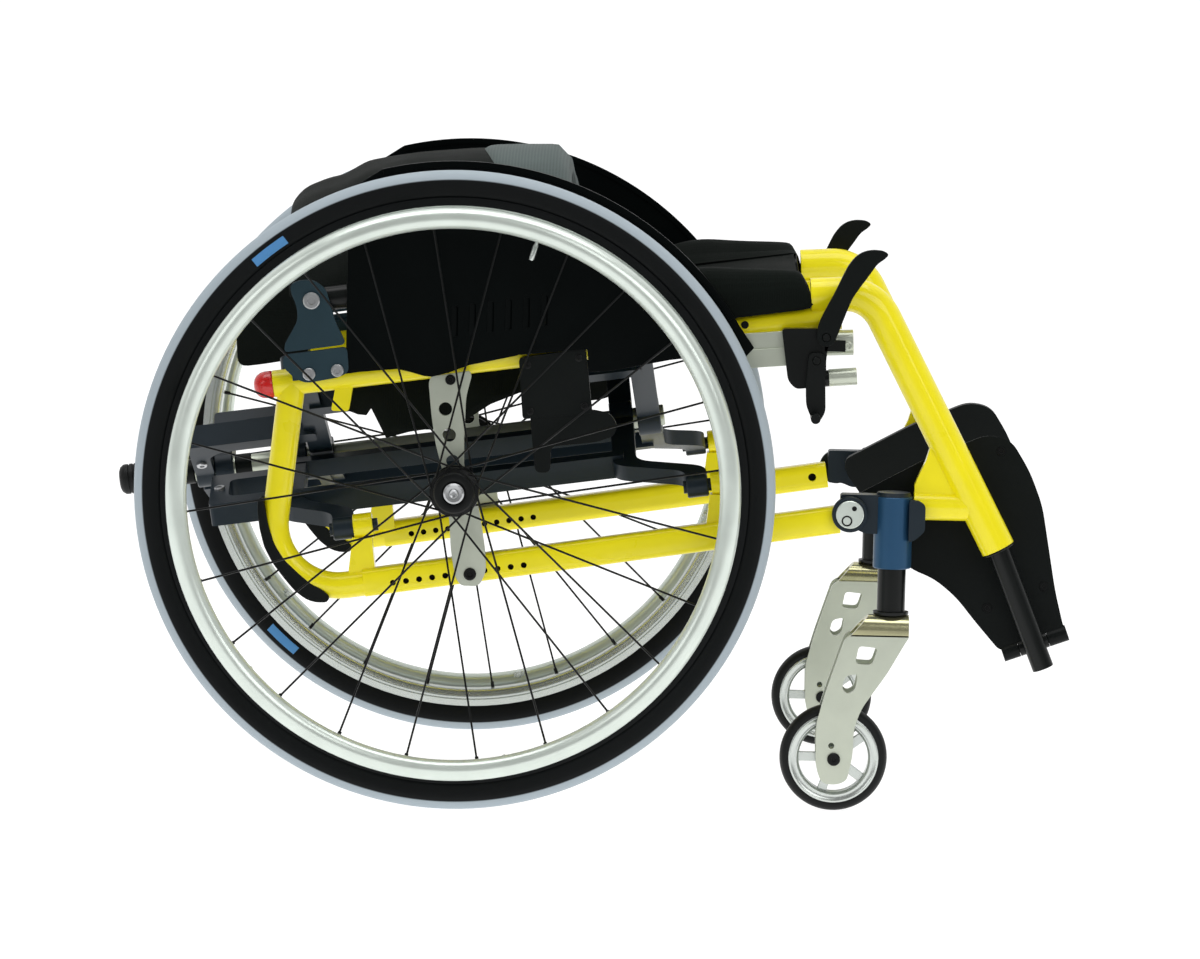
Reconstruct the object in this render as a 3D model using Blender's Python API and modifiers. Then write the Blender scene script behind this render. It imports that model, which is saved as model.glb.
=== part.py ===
# A folding active wheelchair with quick-release wheels, shown with its backrest folded onto the seat.
#
# Metres, +Z up, +X forward, +Y to the sitter's left. X is measured from the rear axle and moved at the
# end, so that the origin lies on the floor at the middle of the chair. Every piece is modelled on the
# right-hand side, at negative Y, and mirrored for the left.

import math

import bmesh
import bpy
from mathutils import Matrix, Vector

# Overall layout
TYRE_RADIUS = 0.295
WHEEL_Y = 0.275
FRAME_Y = 0.220
CASTOR_Y = 0.224
FIT = 0.0003
RUNNING_FIT = 0.0004

# Main wheel
WHEEL_STEPS = 36
TYRE_WIDTH = 0.025
TYRE_HEIGHT = 0.0247
TREAD_ANGLE = 28
RIM_DEPTH = 0.0177
RIM_WIDTH = 0.0196
HANDRIM_INSET = 0.0417
HANDRIM_TUBE = 0.00975
HANDRIM_STANDOFF = 0.042
HANDRIM_TABS = 6
TAB_TURN = math.radians(12)
TAB_WIDTH = 0.012
TAB_THICKNESS = 0.005
SPOKES = 24
SPOKE_RADIUS = 0.001
SPOKE_LEAD = math.radians(62)
SPOKE_TURN = math.radians(5.85)
FLANGE_RADIUS = 0.024
FLANGE_INNER = -0.016
FLANGE_OUTER = 0.012
HUB_INNER_END = -0.0235
HUB_OUTER_END = 0.0245
HUB_BARREL = 0.0135
HUB_CAP_RADIUS = 0.0185
AXLE_RADIUS = 0.006
AXLE_HEAD = 0.0095
AXLE_HEAD_LENGTH = 0.0035
BUTTON_RADIUS = 0.0042
BUTTON_LENGTH = 0.0075
BUTTON_TRAVEL = 0.002

# Side frame
SLOPE = math.radians(8.2)
LOWER_SLOPE = math.radians(9.0)
RAIL_RADIUS = 0.0125
RAIL_MID = (0.080, 0.4215)
RAIL_REAR = -0.1715
RAIL_FRONT = 0.352
POST_TOP = -0.154
POST_FOOT = -0.175
POST_AHEAD = -0.020
POST_BEND = 0.070
POST_RADIUS = 0.0125
PROTECTOR_UP = 0.070
PROTECTOR_AHEAD = 0.080
PROTECTOR_OFFSET = (-0.0062, 0.0, -0.0052)
LOWER_RAIL_MID = (0.120, 0.2345)
LOWER_RAIL_HEIGHT = 0.0254
LOWER_RAIL_WIDTH = 0.025
LOWER_RAIL_REAR = -0.100
LOWER_RAIL_FRONT = 0.3505
HOLE_RADIUS = 0.0028
HOLE_PITCH = 0.0121
HOLES_IN_ROW = 11
HOLE_ROW_REAR = -0.0572
HOLE_ROW_DROP = 0.0025
BOLT_HOLE_RADIUS = 0.004
BOLT_HOLE_INSET = 0.010
LEG_RADIUS = 0.016
LEG_TOP_START = 0.324
LEG_KNEE = (0.3804, 0.4823)
LEG_FOOT = (0.5037, 0.2474)
LEG_BEND = 0.042
LEG_BORE_DEPTH = 0.075
STRUT_RADIUS = 0.0135
STRUT_HEIGHT = 0.286
GUSSET_THICKNESS = 0.010

# Cross brace and seat tubes
PIVOT_Y = 0.215
PIVOT_HEIGHT = 0.2669
BRACE_RISE = 0.0514
SEAT_TUBE_Y = 0.205
SEAT_TUBE_LIFT = 0.0215
SEAT_TUBE_RADIUS = 0.0125
SEAT_TUBE_REAR = -0.075
SEAT_TUBE_FRONT = 0.348
LUG_PLACES = (-0.086, 0.2450)
LUG_LENGTH = 0.018
LUG_RADIUS = 0.012
PIN_RADIUS = 0.006
EYE_RADIUS = 0.0105
EYE_LENGTH = 0.020
ARM_THICKNESS = 0.012
ARM_LEG_WIDTH = 0.022
ARM_LEGS = (-0.155, 0.160)
ARM_STAGGER = 0.026
ARM_BAR_WIDTH = 0.018
ARM_TAIL = -0.252
BOSS_RADIUS = 0.0175
CENTRE_TUBE_RADIUS = 0.010
CENTRE_TUBE_REAR = -0.300
CENTRE_TUBE_FRONT = 0.252
TIP_CAP_RADIUS = 0.0145
TIP_CAP_LENGTH = 0.026

# Axle bracket
BRACKET_THICKNESS = 0.006
BRACKET_HOLE = 0.0062
AXLE_SLEEVE = 0.011

# Side guard
GUARD_THICKNESS = 0.003
GUARD_Y = 0.247
GUARD_ARC = 0.302
GUARD_REAR = -0.093
GUARD_SLOTS = 6
GUARD_SLOT_PITCH = 0.0165

# Backrest
BACK_PIVOT = (-0.137, 0.4645)
BACK_POST_RADIUS = 0.011
BACK_POST_Y = 0.2325
BACK_POST_LENGTH = 0.246
BACK_PIN_RADIUS = 0.005
BACK_PIN_END = 0.0015
BACK_BRACKET_Y = 0.247
BACK_SLING_TAIL = 0.022
BACK_SLING_BULGE = 0.078
SLING_THICKNESS = 0.010

# Seat sling
SEAT_SLING_MARGIN = 0.003
SEAT_SLING_SAG = 0.014
SEAT_CLOTH = 0.004

# Castor
CASTOR_RADIUS = 0.050
CASTOR_WIDTH = 0.022
CASTOR_STEPS = 16
CASTOR_BEAD = 0.038
CASTOR_HOLES = 5
CASTOR_HOLE = 0.0072
CASTOR_HOLE_CIRCLE = 0.0218
CASTOR_STEM_X = 0.4055
CASTOR_TRAIL = 0.050
STEM_RADIUS = 0.013
HOUSING_RADIUS = 0.0178
HOUSING_LOW = 0.2277
HOUSING_HIGH = 0.2990
FORK_TOP = 0.184
FORK_GAP = 0.0275
FORK_LEG = 0.005

# Footrest
FOOT_POST_RADIUS = 0.010
FOOT_POST_END = (0.5487, 0.1366)
FOOT_HINGE = (0.5400, 0.1570)
FOOT_HINGE_Y = 0.200
FOOT_HINGE_TILT = math.radians(20)
FOOT_LEAN = math.radians(5)
FOOTPLATE_THICKNESS = 0.008
KNUCKLE_RADIUS = 0.0075
FOOT_PIN_RADIUS = 0.004
KNUCKLE_HALF = 0.014

# Brake
BRAKE_BODY_Y = 0.2475
LEVER_PIVOT = (0.3385, 0.4425)
LEVER_EYE = 0.0088
LEVER_THICKNESS = 0.008
SHOE_PIVOT = (0.3300, 0.4210)
SHOE_ARM = 0.053
SHOE_BAR_RADIUS = 0.0045
BRAKE_PIN_RADIUS = 0.0035

MOST_HIDDEN = 1e-5

for old in list(bpy.data.objects):
    bpy.data.objects.remove(old)

chair_collection = bpy.data.collections.new("wheelchair")
bpy.context.scene.collection.children.link(chair_collection)


def make_material(name, colour, roughness, metallic=0.0):
    material = bpy.data.materials.new(name)
    material.use_nodes = True
    shader = material.node_tree.nodes["Principled BSDF"]
    shader.inputs["Base Color"].default_value = (*colour, 1.0)
    shader.inputs["Roughness"].default_value = roughness
    shader.inputs["Metallic"].default_value = metallic
    return material


YELLOW = make_material("yellow paint", (0.86, 0.74, 0.02), 0.3)
SLATE = make_material("slate casting", (0.055, 0.075, 0.11), 0.4, 0.3)
BLUE = make_material("blue casting", (0.05, 0.09, 0.17), 0.35, 0.3)
SILVER = make_material("silver aluminium", (0.72, 0.72, 0.70), 0.3, 0.9)
CHAMPAGNE = make_material("champagne aluminium", (0.62, 0.60, 0.53), 0.35, 0.9)
STEEL = make_material("steel", (0.60, 0.60, 0.60), 0.25, 1.0)
BLACK_PLASTIC = make_material("black plastic", (0.012, 0.013, 0.016), 0.45)
BLACK_METAL = make_material("black metal", (0.015, 0.016, 0.02), 0.35, 0.4)
TYRE_RUBBER = make_material("tyre rubber", (0.02, 0.022, 0.025), 0.7)
SOFT_RUBBER = make_material("soft rubber", (0.02, 0.02, 0.02), 0.8)
BLACK_FABRIC = make_material("black fabric", (0.012, 0.012, 0.014), 0.9)
RED_PLASTIC = make_material("red plastic", (0.65, 0.02, 0.02), 0.4)


# Working solids: each function returns an object in chair coordinates, not yet a named piece

def solid_from_bmesh(bm):
    mesh = bpy.data.meshes.new("solid")
    bm.to_mesh(mesh)
    bm.free()
    solid = bpy.data.objects.new("solid", mesh)
    bpy.context.scene.collection.objects.link(solid)
    return solid


def clean(bm):
    bmesh.ops.remove_doubles(bm, verts=bm.verts, dist=MOST_HIDDEN)
    bmesh.ops.dissolve_degenerate(bm, edges=bm.edges, dist=MOST_HIDDEN / 10)
    bmesh.ops.recalc_face_normals(bm, faces=bm.faces)


def evaluated_solid(source):
    """The closed mesh that an object with modifiers, or a curve, stands for. The source is removed."""
    depsgraph = bpy.context.evaluated_depsgraph_get()
    depsgraph.update()
    mesh = bpy.data.meshes.new_from_object(source.evaluated_get(depsgraph))
    mesh.transform(source.matrix_world)
    bm = bmesh.new()
    bm.from_mesh(mesh)
    bpy.data.meshes.remove(mesh)
    clean(bm)
    bpy.data.objects.remove(source)
    return solid_from_bmesh(bm)


def tube(points, radius, sides=12):
    """A round bar along points, with flat ends."""
    curve = bpy.data.curves.new("tube", "CURVE")
    curve.dimensions = "3D"
    curve.bevel_depth = radius
    curve.bevel_resolution = (sides - 4) // 2
    curve.use_fill_caps = True
    spline = curve.splines.new("POLY")
    spline.points.add(len(points) - 1)
    for spline_point, point in zip(spline.points, points):
        spline_point.co = (*point, 1.0)
    source = bpy.data.objects.new("tube", curve)
    bpy.context.scene.collection.objects.link(source)
    bpy.context.view_layer.update()
    return evaluated_solid(source)


def cylinder(start, end, radius, sides=16):
    """A round bar from one point to another, with its end faces square to it."""
    start = Vector(start)
    end = Vector(end)
    along = end - start
    bm = bmesh.new()
    bmesh.ops.create_cone(
        bm, cap_ends=True, segments=sides, radius1=radius, radius2=radius, depth=along.length)
    turn = along.to_track_quat("Z", "Y").to_matrix().to_4x4()
    bmesh.ops.transform(bm, matrix=Matrix.Translation((start + end) / 2) @ turn, verts=bm.verts)
    return solid_from_bmesh(bm)


def block(centre, size, tilt=0.0, rounding=0.0):
    """A box with its long side raised forward by tilt, and its edges rounded."""
    bm = bmesh.new()
    bmesh.ops.create_cube(bm, size=1.0)
    bmesh.ops.scale(bm, vec=size, verts=bm.verts)
    if rounding:
        bmesh.ops.bevel(bm, geom=bm.edges, offset=rounding, segments=1, profile=0.5, affect="EDGES")
    place = Matrix.Translation(centre) @ Matrix.Rotation(-tilt, 4, "Y")
    bmesh.ops.transform(bm, matrix=place, verts=bm.verts)
    return solid_from_bmesh(bm)


def turned(profile, steps, place, closed=False):
    """A profile of (radius, height) pairs turned about the Z axis of place. A closed one is a ring."""
    mesh = bpy.data.meshes.new("profile")
    edges = [(i, i + 1) for i in range(len(profile) - 1)]
    if closed:
        edges.append((len(profile) - 1, 0))
    mesh.from_pydata([(radius, 0.0, height) for radius, height in profile], edges, [])
    source = bpy.data.objects.new("profile", mesh)
    bpy.context.scene.collection.objects.link(source)
    screw = source.modifiers.new("turn", "SCREW")
    screw.steps = steps
    screw.render_steps = steps
    screw.use_merge_vertices = True
    screw.merge_threshold = MOST_HIDDEN
    source.matrix_world = place
    bpy.context.view_layer.update()
    return evaluated_solid(source)


def plate(outline, thickness, place, holes=()):
    """A flat outline of (x, y) pairs, with holes, thickened both ways from the XY plane of place."""
    curve = bpy.data.curves.new("outline", "CURVE")
    curve.dimensions = "2D"
    curve.fill_mode = "BOTH"
    curve.extrude = thickness / 2
    for loop in (outline, *holes):
        spline = curve.splines.new("POLY")
        spline.points.add(len(loop) - 1)
        spline.use_cyclic_u = True
        for spline_point, (x, y) in zip(spline.points, loop):
            spline_point.co = (x, y, 0.0, 1.0)
    source = bpy.data.objects.new("outline", curve)
    bpy.context.scene.collection.objects.link(source)
    source.matrix_world = place
    bpy.context.view_layer.update()
    return evaluated_solid(source)


def boolean(target, tool, operation):
    modifier = target.modifiers.new("boolean", "BOOLEAN")
    modifier.operation = operation
    modifier.object = tool
    result = evaluated_solid(target)
    bpy.data.objects.remove(tool)
    return result


def union(*solids):
    result = solids[0]
    for solid in solids[1:]:
        result = boolean(result, solid, "UNION")
    return result


def cut(target, *cutters):
    for cutter in cutters:
        target = boolean(target, cutter, "DIFFERENCE")
    return target


def together(*solids):
    """Several solids that don't touch, as one object."""
    bm = bmesh.new()
    for solid in solids:
        bm.from_mesh(solid.data)
        bpy.data.objects.remove(solid)
    return solid_from_bmesh(bm)


# Outlines and paths

def circle(x, y, radius, sides=12):
    return [(x + radius * math.cos(math.tau * i / sides), y + radius * math.sin(math.tau * i / sides))
            for i in range(sides)]


def arc(centre, radius, start, end, steps):
    """Points in the plane on an arc, angles in degrees."""
    angles = [math.radians(start + (end - start) * i / steps) for i in range(steps + 1)]
    return [(centre[0] + radius * math.cos(a), centre[1] + radius * math.sin(a)) for a in angles]


def rounded(points, radius, steps=4, closed=True):
    """The same path with each corner rounded, as far as its sides allow."""
    points = [Vector(p) for p in points]
    count = len(points)
    result = []
    for i, corner in enumerate(points):
        if not closed and i in (0, count - 1):
            result.append(tuple(corner))
            continue
        before = points[i - 1] - corner
        after = points[(i + 1) % count] - corner
        half = before.angle(after) / 2
        reach = min(radius / math.tan(half), 0.48 * before.length, 0.48 * after.length)
        start = corner + before.normalized() * reach
        end = corner + after.normalized() * reach
        for step in range(steps + 1):
            t = step / steps
            point = start * (1 - t) ** 2 + corner * 2 * t * (1 - t) + end * t ** 2
            result.append(tuple(point))
    return result


# Places. side_plane draws (x, z) in a vertical plane at y; brace is the tilted frame of the fold.

def side_plane(y):
    return Matrix.Translation((0.0, y, 0.0)) @ Matrix.Rotation(math.radians(90), 4, "X")


def across(x, y, z):
    """Turned pieces that lie across the chair: their height runs outwards on the right side."""
    return Matrix.Translation((x, y, z)) @ Matrix.Rotation(math.radians(90), 4, "X")


BRACE = Matrix.Translation((0.0, 0.0, PIVOT_HEIGHT)) @ Matrix.Rotation(-SLOPE, 4, "Y")


def in_brace(x, y, z):
    return BRACE @ Vector((x, y, z))


def rail_height(x):
    return RAIL_MID[1] + (x - RAIL_MID[0]) * math.tan(SLOPE)


def lower_rail_height(x):
    return LOWER_RAIL_MID[1] + (x - LOWER_RAIL_MID[0]) * math.tan(LOWER_SLOPE)


SEAT_TUBE_HEIGHT = (BRACE.inverted() @ Vector((RAIL_MID[0], 0.0, RAIL_MID[1]))).z + SEAT_TUBE_LIFT
RAIL_OUTSIDE = FRAME_Y + RAIL_RADIUS
BRAKE_INNER = RAIL_OUTSIDE + FIT
BRAKE_PLANE = BRAKE_BODY_Y + FIT + LEVER_THICKNESS / 2
HINGE_ALONG = Vector((math.cos(FOOT_HINGE_TILT), 0.0, math.sin(FOOT_HINGE_TILT)))
LEG_ALONG = Vector((LEG_FOOT[0] - LEG_KNEE[0], 0.0, LEG_FOOT[1] - LEG_KNEE[1])).normalized()


# Bodies. Each is an empty on its joint axis that carries the pieces which move together.

def empty(name, location, parent=None):
    holder = bpy.data.objects.new(name, None)
    holder.empty_display_size = 0.02
    chair_collection.objects.link(holder)
    holder["place"] = tuple(location)
    if parent is not None:
        holder.parent = parent
        location = Vector(location) - Vector(parent["place"])
    holder.location = location
    return holder


def mirrored(point):
    return (point[0], -point[1], point[2])


CHAIR = empty("wheelchair_origin", (0.0, 0.0, 0.0))

BRACE_PIVOT = tuple(in_brace(0.0, -PIVOT_Y, 0.0))
BRACE_CENTRE = tuple(in_brace(0.0, 0.0, BRACE_RISE))
SIDE_BODIES = {
    "wheel": (0.0, -WHEEL_Y, TYRE_RADIUS),
    "axle_button": (0.0, -WHEEL_Y, TYRE_RADIUS),
    "castor_swivel": (CASTOR_STEM_X, -CASTOR_Y, HOUSING_LOW),
    "castor_wheel": (CASTOR_STEM_X - CASTOR_TRAIL, -CASTOR_Y, CASTOR_RADIUS),
    "brake_lever": (LEVER_PIVOT[0], -BRAKE_PLANE, LEVER_PIVOT[1]),
    "brake_shoe": (SHOE_PIVOT[0], -BRAKE_PLANE, SHOE_PIVOT[1]),
    "back_post": (BACK_PIVOT[0], -BACK_POST_Y, BACK_PIVOT[1]),
    "footplate": (FOOT_HINGE[0], -FOOT_HINGE_Y, FOOT_HINGE[1]),
}
BODIES = {"right_frame": empty("right_frame_body", (0.0, 0.0, 0.0), CHAIR)}
BODIES["cross_arm_a"] = empty("cross_arm_a_body", BRACE_PIVOT, BODIES["right_frame"])
BODIES["cross_arm_b"] = empty("cross_arm_b_body", BRACE_CENTRE, BODIES["cross_arm_a"])
BODIES["left_frame"] = empty("left_frame_body", mirrored(BRACE_PIVOT), BODIES["cross_arm_b"])
for body, pivot in SIDE_BODIES.items():
    holder = "castor_swivel" if body == "castor_wheel" else "frame"
    BODIES["right_" + body] = empty(f"right_{body}_body", pivot, BODIES["right_" + holder])
    BODIES["left_" + body] = empty(f"left_{body}_body", mirrored(pivot), BODIES["left_" + holder])


def name_piece(name, solid, material, body):
    """Makes a working solid a named piece of the chair, with its origin on its body's joint axis."""
    holder = BODIES[body]
    mesh = solid.data.copy()
    bpy.data.objects.remove(solid)
    mesh.transform(Matrix.Translation(-Vector(holder["place"])))
    mesh.name = name
    mesh.materials.clear()
    mesh.materials.append(material)
    mesh.shade_smooth()
    mesh.set_sharp_from_angle(angle=math.radians(35))
    piece = bpy.data.objects.new(name, mesh)
    chair_collection.objects.link(piece)
    piece.parent = holder
    return piece


def mirror_image(solid):
    """The left-hand twin of a right-hand solid, which stays."""
    bm = bmesh.new()
    bm.from_mesh(solid.data)
    bmesh.ops.scale(bm, vec=(1.0, -1.0, 1.0), verts=bm.verts)
    bmesh.ops.reverse_faces(bm, faces=bm.faces)
    return solid_from_bmesh(bm)


def name_pair(name, solid, material, body="frame"):
    """The right-hand piece and its mirror image on the left."""
    left = mirror_image(solid)
    name_piece("right_" + name, solid, material, "right_" + body)
    name_piece("left_" + name, left, material, "left_" + body)


# Side frame: two rails, a rear post, the bent front leg and the lugs of the cross brace

def lower_rail():
    length = LOWER_RAIL_FRONT - LOWER_RAIL_REAR
    middle = (LOWER_RAIL_FRONT + LOWER_RAIL_REAR) / 2
    centre = (middle, -FRAME_Y, lower_rail_height(middle))
    return block(centre, (length / math.cos(LOWER_SLOPE), LOWER_RAIL_WIDTH, LOWER_RAIL_HEIGHT),
                 LOWER_SLOPE, LOWER_RAIL_HEIGHT / 5)


def rail_hole(x, z, radius, sides):
    outside = -FRAME_Y - LOWER_RAIL_WIDTH
    return cylinder((x, outside, z), (x, -FRAME_Y + LOWER_RAIL_WIDTH, z), radius, sides)


def row_of_holes():
    """The row that takes the axle bracket's bolt, and the larger hole of the housing's bolt in front."""
    holes = []
    for i in range(HOLES_IN_ROW):
        x = HOLE_ROW_REAR + i * HOLE_PITCH
        holes.append(rail_hole(x, lower_rail_height(x) - HOLE_ROW_DROP, HOLE_RADIUS, 6))
    x = LOWER_RAIL_FRONT - BOLT_HOLE_INSET
    holes.append(rail_hole(x, lower_rail_height(x), BOLT_HOLE_RADIUS, 10))
    return together(*holes)


def brace_lug(x):
    """The pivot eye that stands on the lower rail, with the block under it."""
    start = in_brace(x - LUG_LENGTH / 2, -PIVOT_Y, 0.0)
    end = in_brace(x + LUG_LENGTH / 2, -PIVOT_Y, 0.0)
    lug = cylinder(start, end, LUG_RADIUS, 12)
    middle = in_brace(x, -PIVOT_Y, 0.0)
    foot = lower_rail_height(middle.x) + LOWER_RAIL_HEIGHT * 0.3
    foot_height = middle.z - foot
    web = block(in_brace(x, -PIVOT_Y - 0.001, -foot_height / 2),
                (LUG_LENGTH * 0.96, LUG_RADIUS * 1.7, foot_height), SLOPE)
    return union(lug, web)


def lug_bore(x):
    start = in_brace(x - LUG_LENGTH, -PIVOT_Y, 0.0)
    end = in_brace(x + LUG_LENGTH, -PIVOT_Y, 0.0)
    return cylinder(start, end, PIN_RADIUS + RUNNING_FIT, 10)


def front_leg():
    start = (LEG_TOP_START, LEG_KNEE[1] - (LEG_KNEE[0] - LEG_TOP_START) * 0.06)
    path = rounded([(start[0], -FRAME_Y, start[1]), (LEG_KNEE[0], -FRAME_Y, LEG_KNEE[1]),
                    (LEG_FOOT[0], -FRAME_Y, LEG_FOOT[1])], LEG_BEND, 5, closed=False)
    return tube(path, LEG_RADIUS, 12)


def rear_post_points():
    return (POST_TOP, -FRAME_Y, rail_height(POST_TOP)), lower_tube_point(POST_FOOT), lower_tube_point(POST_AHEAD)


def rear_post(radius):
    """The post down from the upper rail and its bend into the lower rail."""
    return tube(rounded(rear_post_points(), POST_BEND, 4, closed=False), radius, 12)


def lower_tube_point(x):
    return (x, -FRAME_Y, lower_rail_height(x))


def side_frame():
    rail = cylinder((RAIL_REAR, -FRAME_Y, rail_height(RAIL_REAR)),
                    (RAIL_FRONT, -FRAME_Y, rail_height(RAIL_FRONT)), RAIL_RADIUS, 12)
    strut_end = LEG_FOOT[0] - (STRUT_HEIGHT - LEG_FOOT[1]) * LEG_ALONG.x / -LEG_ALONG.z
    strut = cylinder((CASTOR_STEM_X + HOUSING_RADIUS + 2 * FIT, -FRAME_Y, STRUT_HEIGHT),
                     (strut_end, -FRAME_Y, STRUT_HEIGHT), STRUT_RADIUS, 12)
    gusset_outline = [(0.4242, 0.2900), (0.4242, 0.3055), (0.4290, 0.3165), (0.4343, 0.3278),
                      (0.4382, 0.3416), (0.4375, 0.3660), (0.4500, 0.3600), (0.4800, 0.2900)]
    gusset = plate(gusset_outline, GUSSET_THICKNESS, side_plane(-FRAME_Y))
    tab = block((-0.105, -FRAME_Y, rail_height(-0.105) - 0.020), (0.015, 0.012, 0.028), 0.0, 0.002)
    frame = union(rail, front_leg(), rear_post(POST_RADIUS), lower_rail(), strut, gusset, tab)
    for place in LUG_PLACES:
        frame = union(frame, brace_lug(place))
    frame = cut(frame, row_of_holes())
    for place in LUG_PLACES:
        frame = cut(frame, lug_bore(place))
    bore_end = Vector((LEG_FOOT[0], -FRAME_Y, LEG_FOOT[1]))
    bore = cylinder(bore_end + LEG_ALONG * 0.01, bore_end - LEG_ALONG * LEG_BORE_DEPTH,
                    FOOT_POST_RADIUS + FIT, 16)
    return cut(frame, bore)


def end_cap():
    start = Vector((RAIL_REAR, -FRAME_Y, rail_height(RAIL_REAR)))
    along = Vector((-math.cos(SLOPE), 0.0, -math.sin(SLOPE)))
    place = Matrix.Translation(start + along * FIT) @ along.to_track_quat("Z", "Y").to_matrix().to_4x4()
    dome = [(0.0, 0.018), (0.006, 0.0168), (0.0105, 0.013), (0.0125, 0.007), (0.0125, 0.0), (0.0, 0.0)]
    return turned(dome, 14, place)


def frame_protector():
    """The black guard moulded round the outside of the rear lower bend."""
    top, foot, ahead = (Vector(point) for point in rear_post_points())
    up = foot + (top - foot).normalized() * PROTECTOR_UP
    ahead = foot + (ahead - foot).normalized() * PROTECTOR_AHEAD
    outward = Vector(PROTECTOR_OFFSET)
    path = rounded([tuple(up + outward), tuple(foot + outward), tuple(ahead + outward)], POST_BEND, 4, closed=False)
    shell = tube(path, POST_RADIUS * 0.92, 10)
    return cut(shell, rear_post(POST_RADIUS + FIT))


# Cross brace: two castings, each with two legs, a bent foot at each lower pivot and long bars between

def half_arm_frame(start, end):
    """Axes for a flat half of an arm: X along the fold axis, Y from start to end across the chair."""
    along = Vector(end) - Vector(start)
    fold_axis = BRACE.to_3x3() @ Vector((1.0, 0.0, 0.0))
    y_axis = along.normalized()
    z_axis = fold_axis.cross(y_axis)
    rotation = Matrix((fold_axis, y_axis, z_axis)).transposed().to_4x4()
    return Matrix.Translation(start) @ rotation, along.length


def leg_outline(x, foot, reach):
    """A leg of the lower half, from the eye beside its lug, with its bend, to the centre pivot."""
    w = ARM_LEG_WIDTH / 2
    eye = EYE_LENGTH / 2
    return [(foot - eye, 0.0), (foot - eye, 0.026), (x - w, 0.066), (x - w, reach),
            (x + w, reach), (x + w, 0.074), (foot + eye, 0.034), (foot + eye, 0.0)]


def lower_half(stagger):
    start = in_brace(0.0, -PIVOT_Y, 0.0)
    place, reach = half_arm_frame(start, in_brace(0.0, 0.0, BRACE_RISE))
    legs = [x + stagger for x in ARM_LEGS]
    rear_foot = LUG_PLACES[0] - LUG_LENGTH / 2 - FIT - EYE_LENGTH / 2
    front_foot = LUG_PLACES[1] - LUG_LENGTH / 2 - FIT - EYE_LENGTH / 2
    solids = []
    for x, foot in ((legs[0], rear_foot), (legs[1], front_foot)):
        solids.append(plate(leg_outline(x, foot, reach), ARM_THICKNESS, place))
    bar = ARM_BAR_WIDTH
    near_foot = 0.082
    tail = [(ARM_TAIL, near_foot), (legs[1], near_foot), (legs[1], near_foot + bar), (ARM_TAIL, near_foot + bar)]
    solids.append(plate(tail, ARM_THICKNESS * 0.96, place))
    near_centre = 0.148
    loop = [(ARM_TAIL, near_foot + bar * 0.5), (ARM_TAIL + bar, near_foot + bar * 0.5),
            (ARM_TAIL + bar, near_centre), (legs[0], near_centre), (legs[0], near_centre + bar),
            (ARM_TAIL, near_centre + bar)]
    solids.append(plate(rounded(loop, 0.006, 2), ARM_THICKNESS * 0.92, place))
    half = union(*solids)
    for foot in (rear_foot, front_foot):
        eye = cylinder(in_brace(foot - EYE_LENGTH / 2, -PIVOT_Y, 0.0),
                       in_brace(foot + EYE_LENGTH / 2, -PIVOT_Y, 0.0), EYE_RADIUS, 12)
        pin = cylinder(in_brace(foot, -PIVOT_Y, 0.0),
                       in_brace(foot + EYE_LENGTH / 2 + LUG_LENGTH + 0.004, -PIVOT_Y, 0.0), PIN_RADIUS, 10)
        half = union(half, eye, pin)
    return half


def upper_half(stagger):
    start = in_brace(0.0, 0.0, BRACE_RISE)
    place, reach = half_arm_frame(start, in_brace(0.0, SEAT_TUBE_Y, SEAT_TUBE_HEIGHT))
    end = reach - SEAT_TUBE_RADIUS * 0.5
    legs = [x + stagger for x in ARM_LEGS]
    w = ARM_LEG_WIDTH / 2
    solids = []
    for x in legs:
        flare = [(x - w, 0.0), (x - w, end - 0.05), (x - w * 1.7, end), (x + w * 1.7, end),
                 (x + w, end - 0.05), (x + w, 0.0)]
        solids.append(plate(flare, ARM_THICKNESS * 0.98, place))
    bar = [(legs[0], 0.118), (legs[1], 0.118), (legs[1], 0.118 + ARM_BAR_WIDTH), (legs[0], 0.118 + ARM_BAR_WIDTH)]
    solids.append(plate(bar, ARM_THICKNESS * 0.9, place))
    seat = cylinder(in_brace(-0.3, SEAT_TUBE_Y, SEAT_TUBE_HEIGHT), in_brace(0.4, SEAT_TUBE_Y, SEAT_TUBE_HEIGHT),
                    SEAT_TUBE_RADIUS + FIT, 16)
    return cut(union(*solids), seat)


def cross_arm(stagger):
    """The casting whose feet are on the right and whose upper legs carry the left seat tube."""
    arm = union(lower_half(stagger), upper_half(stagger))
    for x in ARM_LEGS:
        middle = x + stagger
        boss = cylinder(in_brace(middle - ARM_LEG_WIDTH / 2, 0.0, BRACE_RISE),
                        in_brace(middle + ARM_LEG_WIDTH / 2, 0.0, BRACE_RISE), BOSS_RADIUS, 14)
        arm = union(arm, boss)
    bore = cylinder(in_brace(-0.4, 0.0, BRACE_RISE), in_brace(0.4, 0.0, BRACE_RISE),
                    CENTRE_TUBE_RADIUS + RUNNING_FIT, 14)
    return cut(arm, bore)


def centre_tube():
    return cylinder(in_brace(CENTRE_TUBE_REAR, 0.0, BRACE_RISE), in_brace(CENTRE_TUBE_FRONT, 0.0, BRACE_RISE),
                    CENTRE_TUBE_RADIUS, 14)


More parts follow.
